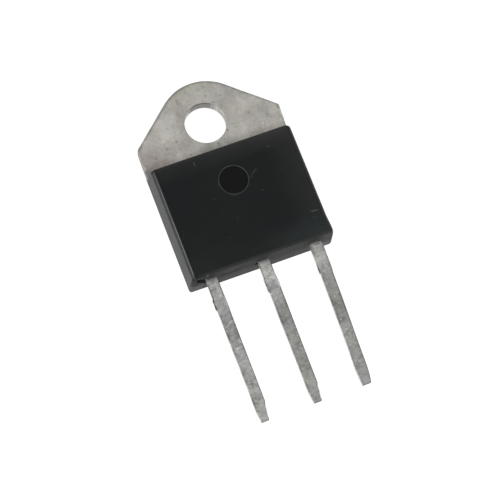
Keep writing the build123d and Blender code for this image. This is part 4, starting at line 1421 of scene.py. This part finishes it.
for node, mat in (
    ("insulator_solder", MAT_SOLDER),
    ("frame_solder", MAT_SOLDER),
    ("die_solder", MAT_SOLDER),
    ("main_1_contact_solder", MAT_SOLDER),
    ("main_1_lead_solder", MAT_SOLDER),
    ("gate_contact_solder", MAT_SOLDER),
    ("gate_lead_solder", MAT_SOLDER),
    ("ceramic_insulator", MAT_ALUMINA),
    ("silicon_die", MAT_SILICON),
    ("main_1_clip", MAT_COPPER),
    ("gate_clip", MAT_COPPER),
):
    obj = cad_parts[node]
    for s in obj.material_slots:
        s.material = mat

# ------------------------------------------------------------------ stage and light


def floor():
    mesh = bpy.data.meshes.new("floor")
    s = 0.9
    mesh.from_pydata([(-s, -s, 0), (s, -s, 0), (s, s, 0), (-s, s, 0)], [], [(0, 1, 2, 3)])
    obj = bpy.data.objects.new("floor", mesh)
    obj.location = (0, -0.01, -0.00002)
    scene.collection.objects.link(obj)
    mat = bpy.data.materials.new("backlit_white")
    mat.use_nodes = True
    t = mat.node_tree
    b = t.nodes["Principled BSDF"]
    b.inputs["Base Color"].default_value = (0.30, 0.30, 0.30, 1)
    b.inputs["Roughness"].default_value = 0.9
    b.inputs["Specular IOR Level"].default_value = 0.0
    b.inputs["Emission Color"].default_value = (1, 1, 1, 1)
    b.inputs["Emission Strength"].default_value = 0.95
    # one-sided, so that the back of the part can be looked at from below
    geo = t.nodes.new("ShaderNodeNewGeometry")
    clear = t.nodes.new("ShaderNodeBsdfTransparent")
    mix = t.nodes.new("ShaderNodeMixShader")
    t.links.new(geo.outputs["Backfacing"], mix.inputs[0])
    t.links.new(b.outputs[0], mix.inputs[1])
    t.links.new(clear.outputs[0], mix.inputs[2])
    t.links.new(mix.outputs[0], t.nodes["Material Output"].inputs[0])
    mesh.materials.append(mat)
    return obj


floor()

world = bpy.data.worlds.new("studio")
scene.world = world
world.use_nodes = True
bg = world.node_tree.nodes["Background"]
bg.inputs[0].default_value = (0.93, 0.97, 1.0, 1)
bg.inputs[1].default_value = 0.32


def softbox(name, loc, target, size, power, colour=(1, 1, 1)):
    light = bpy.data.lights.new(name, "AREA")
    light.shape = "RECTANGLE"
    light.size, light.size_y = size
    light.energy = power
    light.color = colour
    obj = bpy.data.objects.new(name, light)
    obj.location = loc
    d = Vector(target) - Vector(loc)
    obj.rotation_mode = "QUATERNION"
    obj.rotation_quaternion = d.to_track_quat("-Z", "Y")
    scene.collection.objects.link(obj)
    return obj


softbox("overhead", (0.06, 0.05, 0.62), (0, -0.01, 0), (0.50, 0.50), 0.50, (1.0, 0.985, 0.96))
softbox("window_left", (-0.55, -0.10, 0.22), (0, -0.01, 0), (0.30, 0.50), 1.0, (0.96, 0.98, 1.0))

# ------------------------------------------------------------------ camera

cam_data = bpy.data.cameras.new("camera")
cam = bpy.data.objects.new("camera", cam_data)
scene.collection.objects.link(cam)
cam_data.sensor_width = 36.0
cam_data.lens = 132.98
cam_data.clip_start = 0.005
cam_data.clip_end = 10.0
right = Vector((0.9308344, -0.35833987, 0.07169281))
up = Vector((0.32599456, 0.90288059, 0.28023953))
back = Vector((-0.16515104, -0.23748513, 0.95724916))
rot = Matrix((right, up, back)).transposed().to_4x4()
cam.matrix_world = Matrix.Translation(Vector((-0.031294, -0.058388, 0.179487))) @ rot
scene.camera = cam

scene.view_settings.view_transform = "Standard"
scene.view_settings.look = "None"
scene.view_settings.exposure = 0.0
scene.view_settings.gamma = 1.0

bpy.context.view_layer.update()
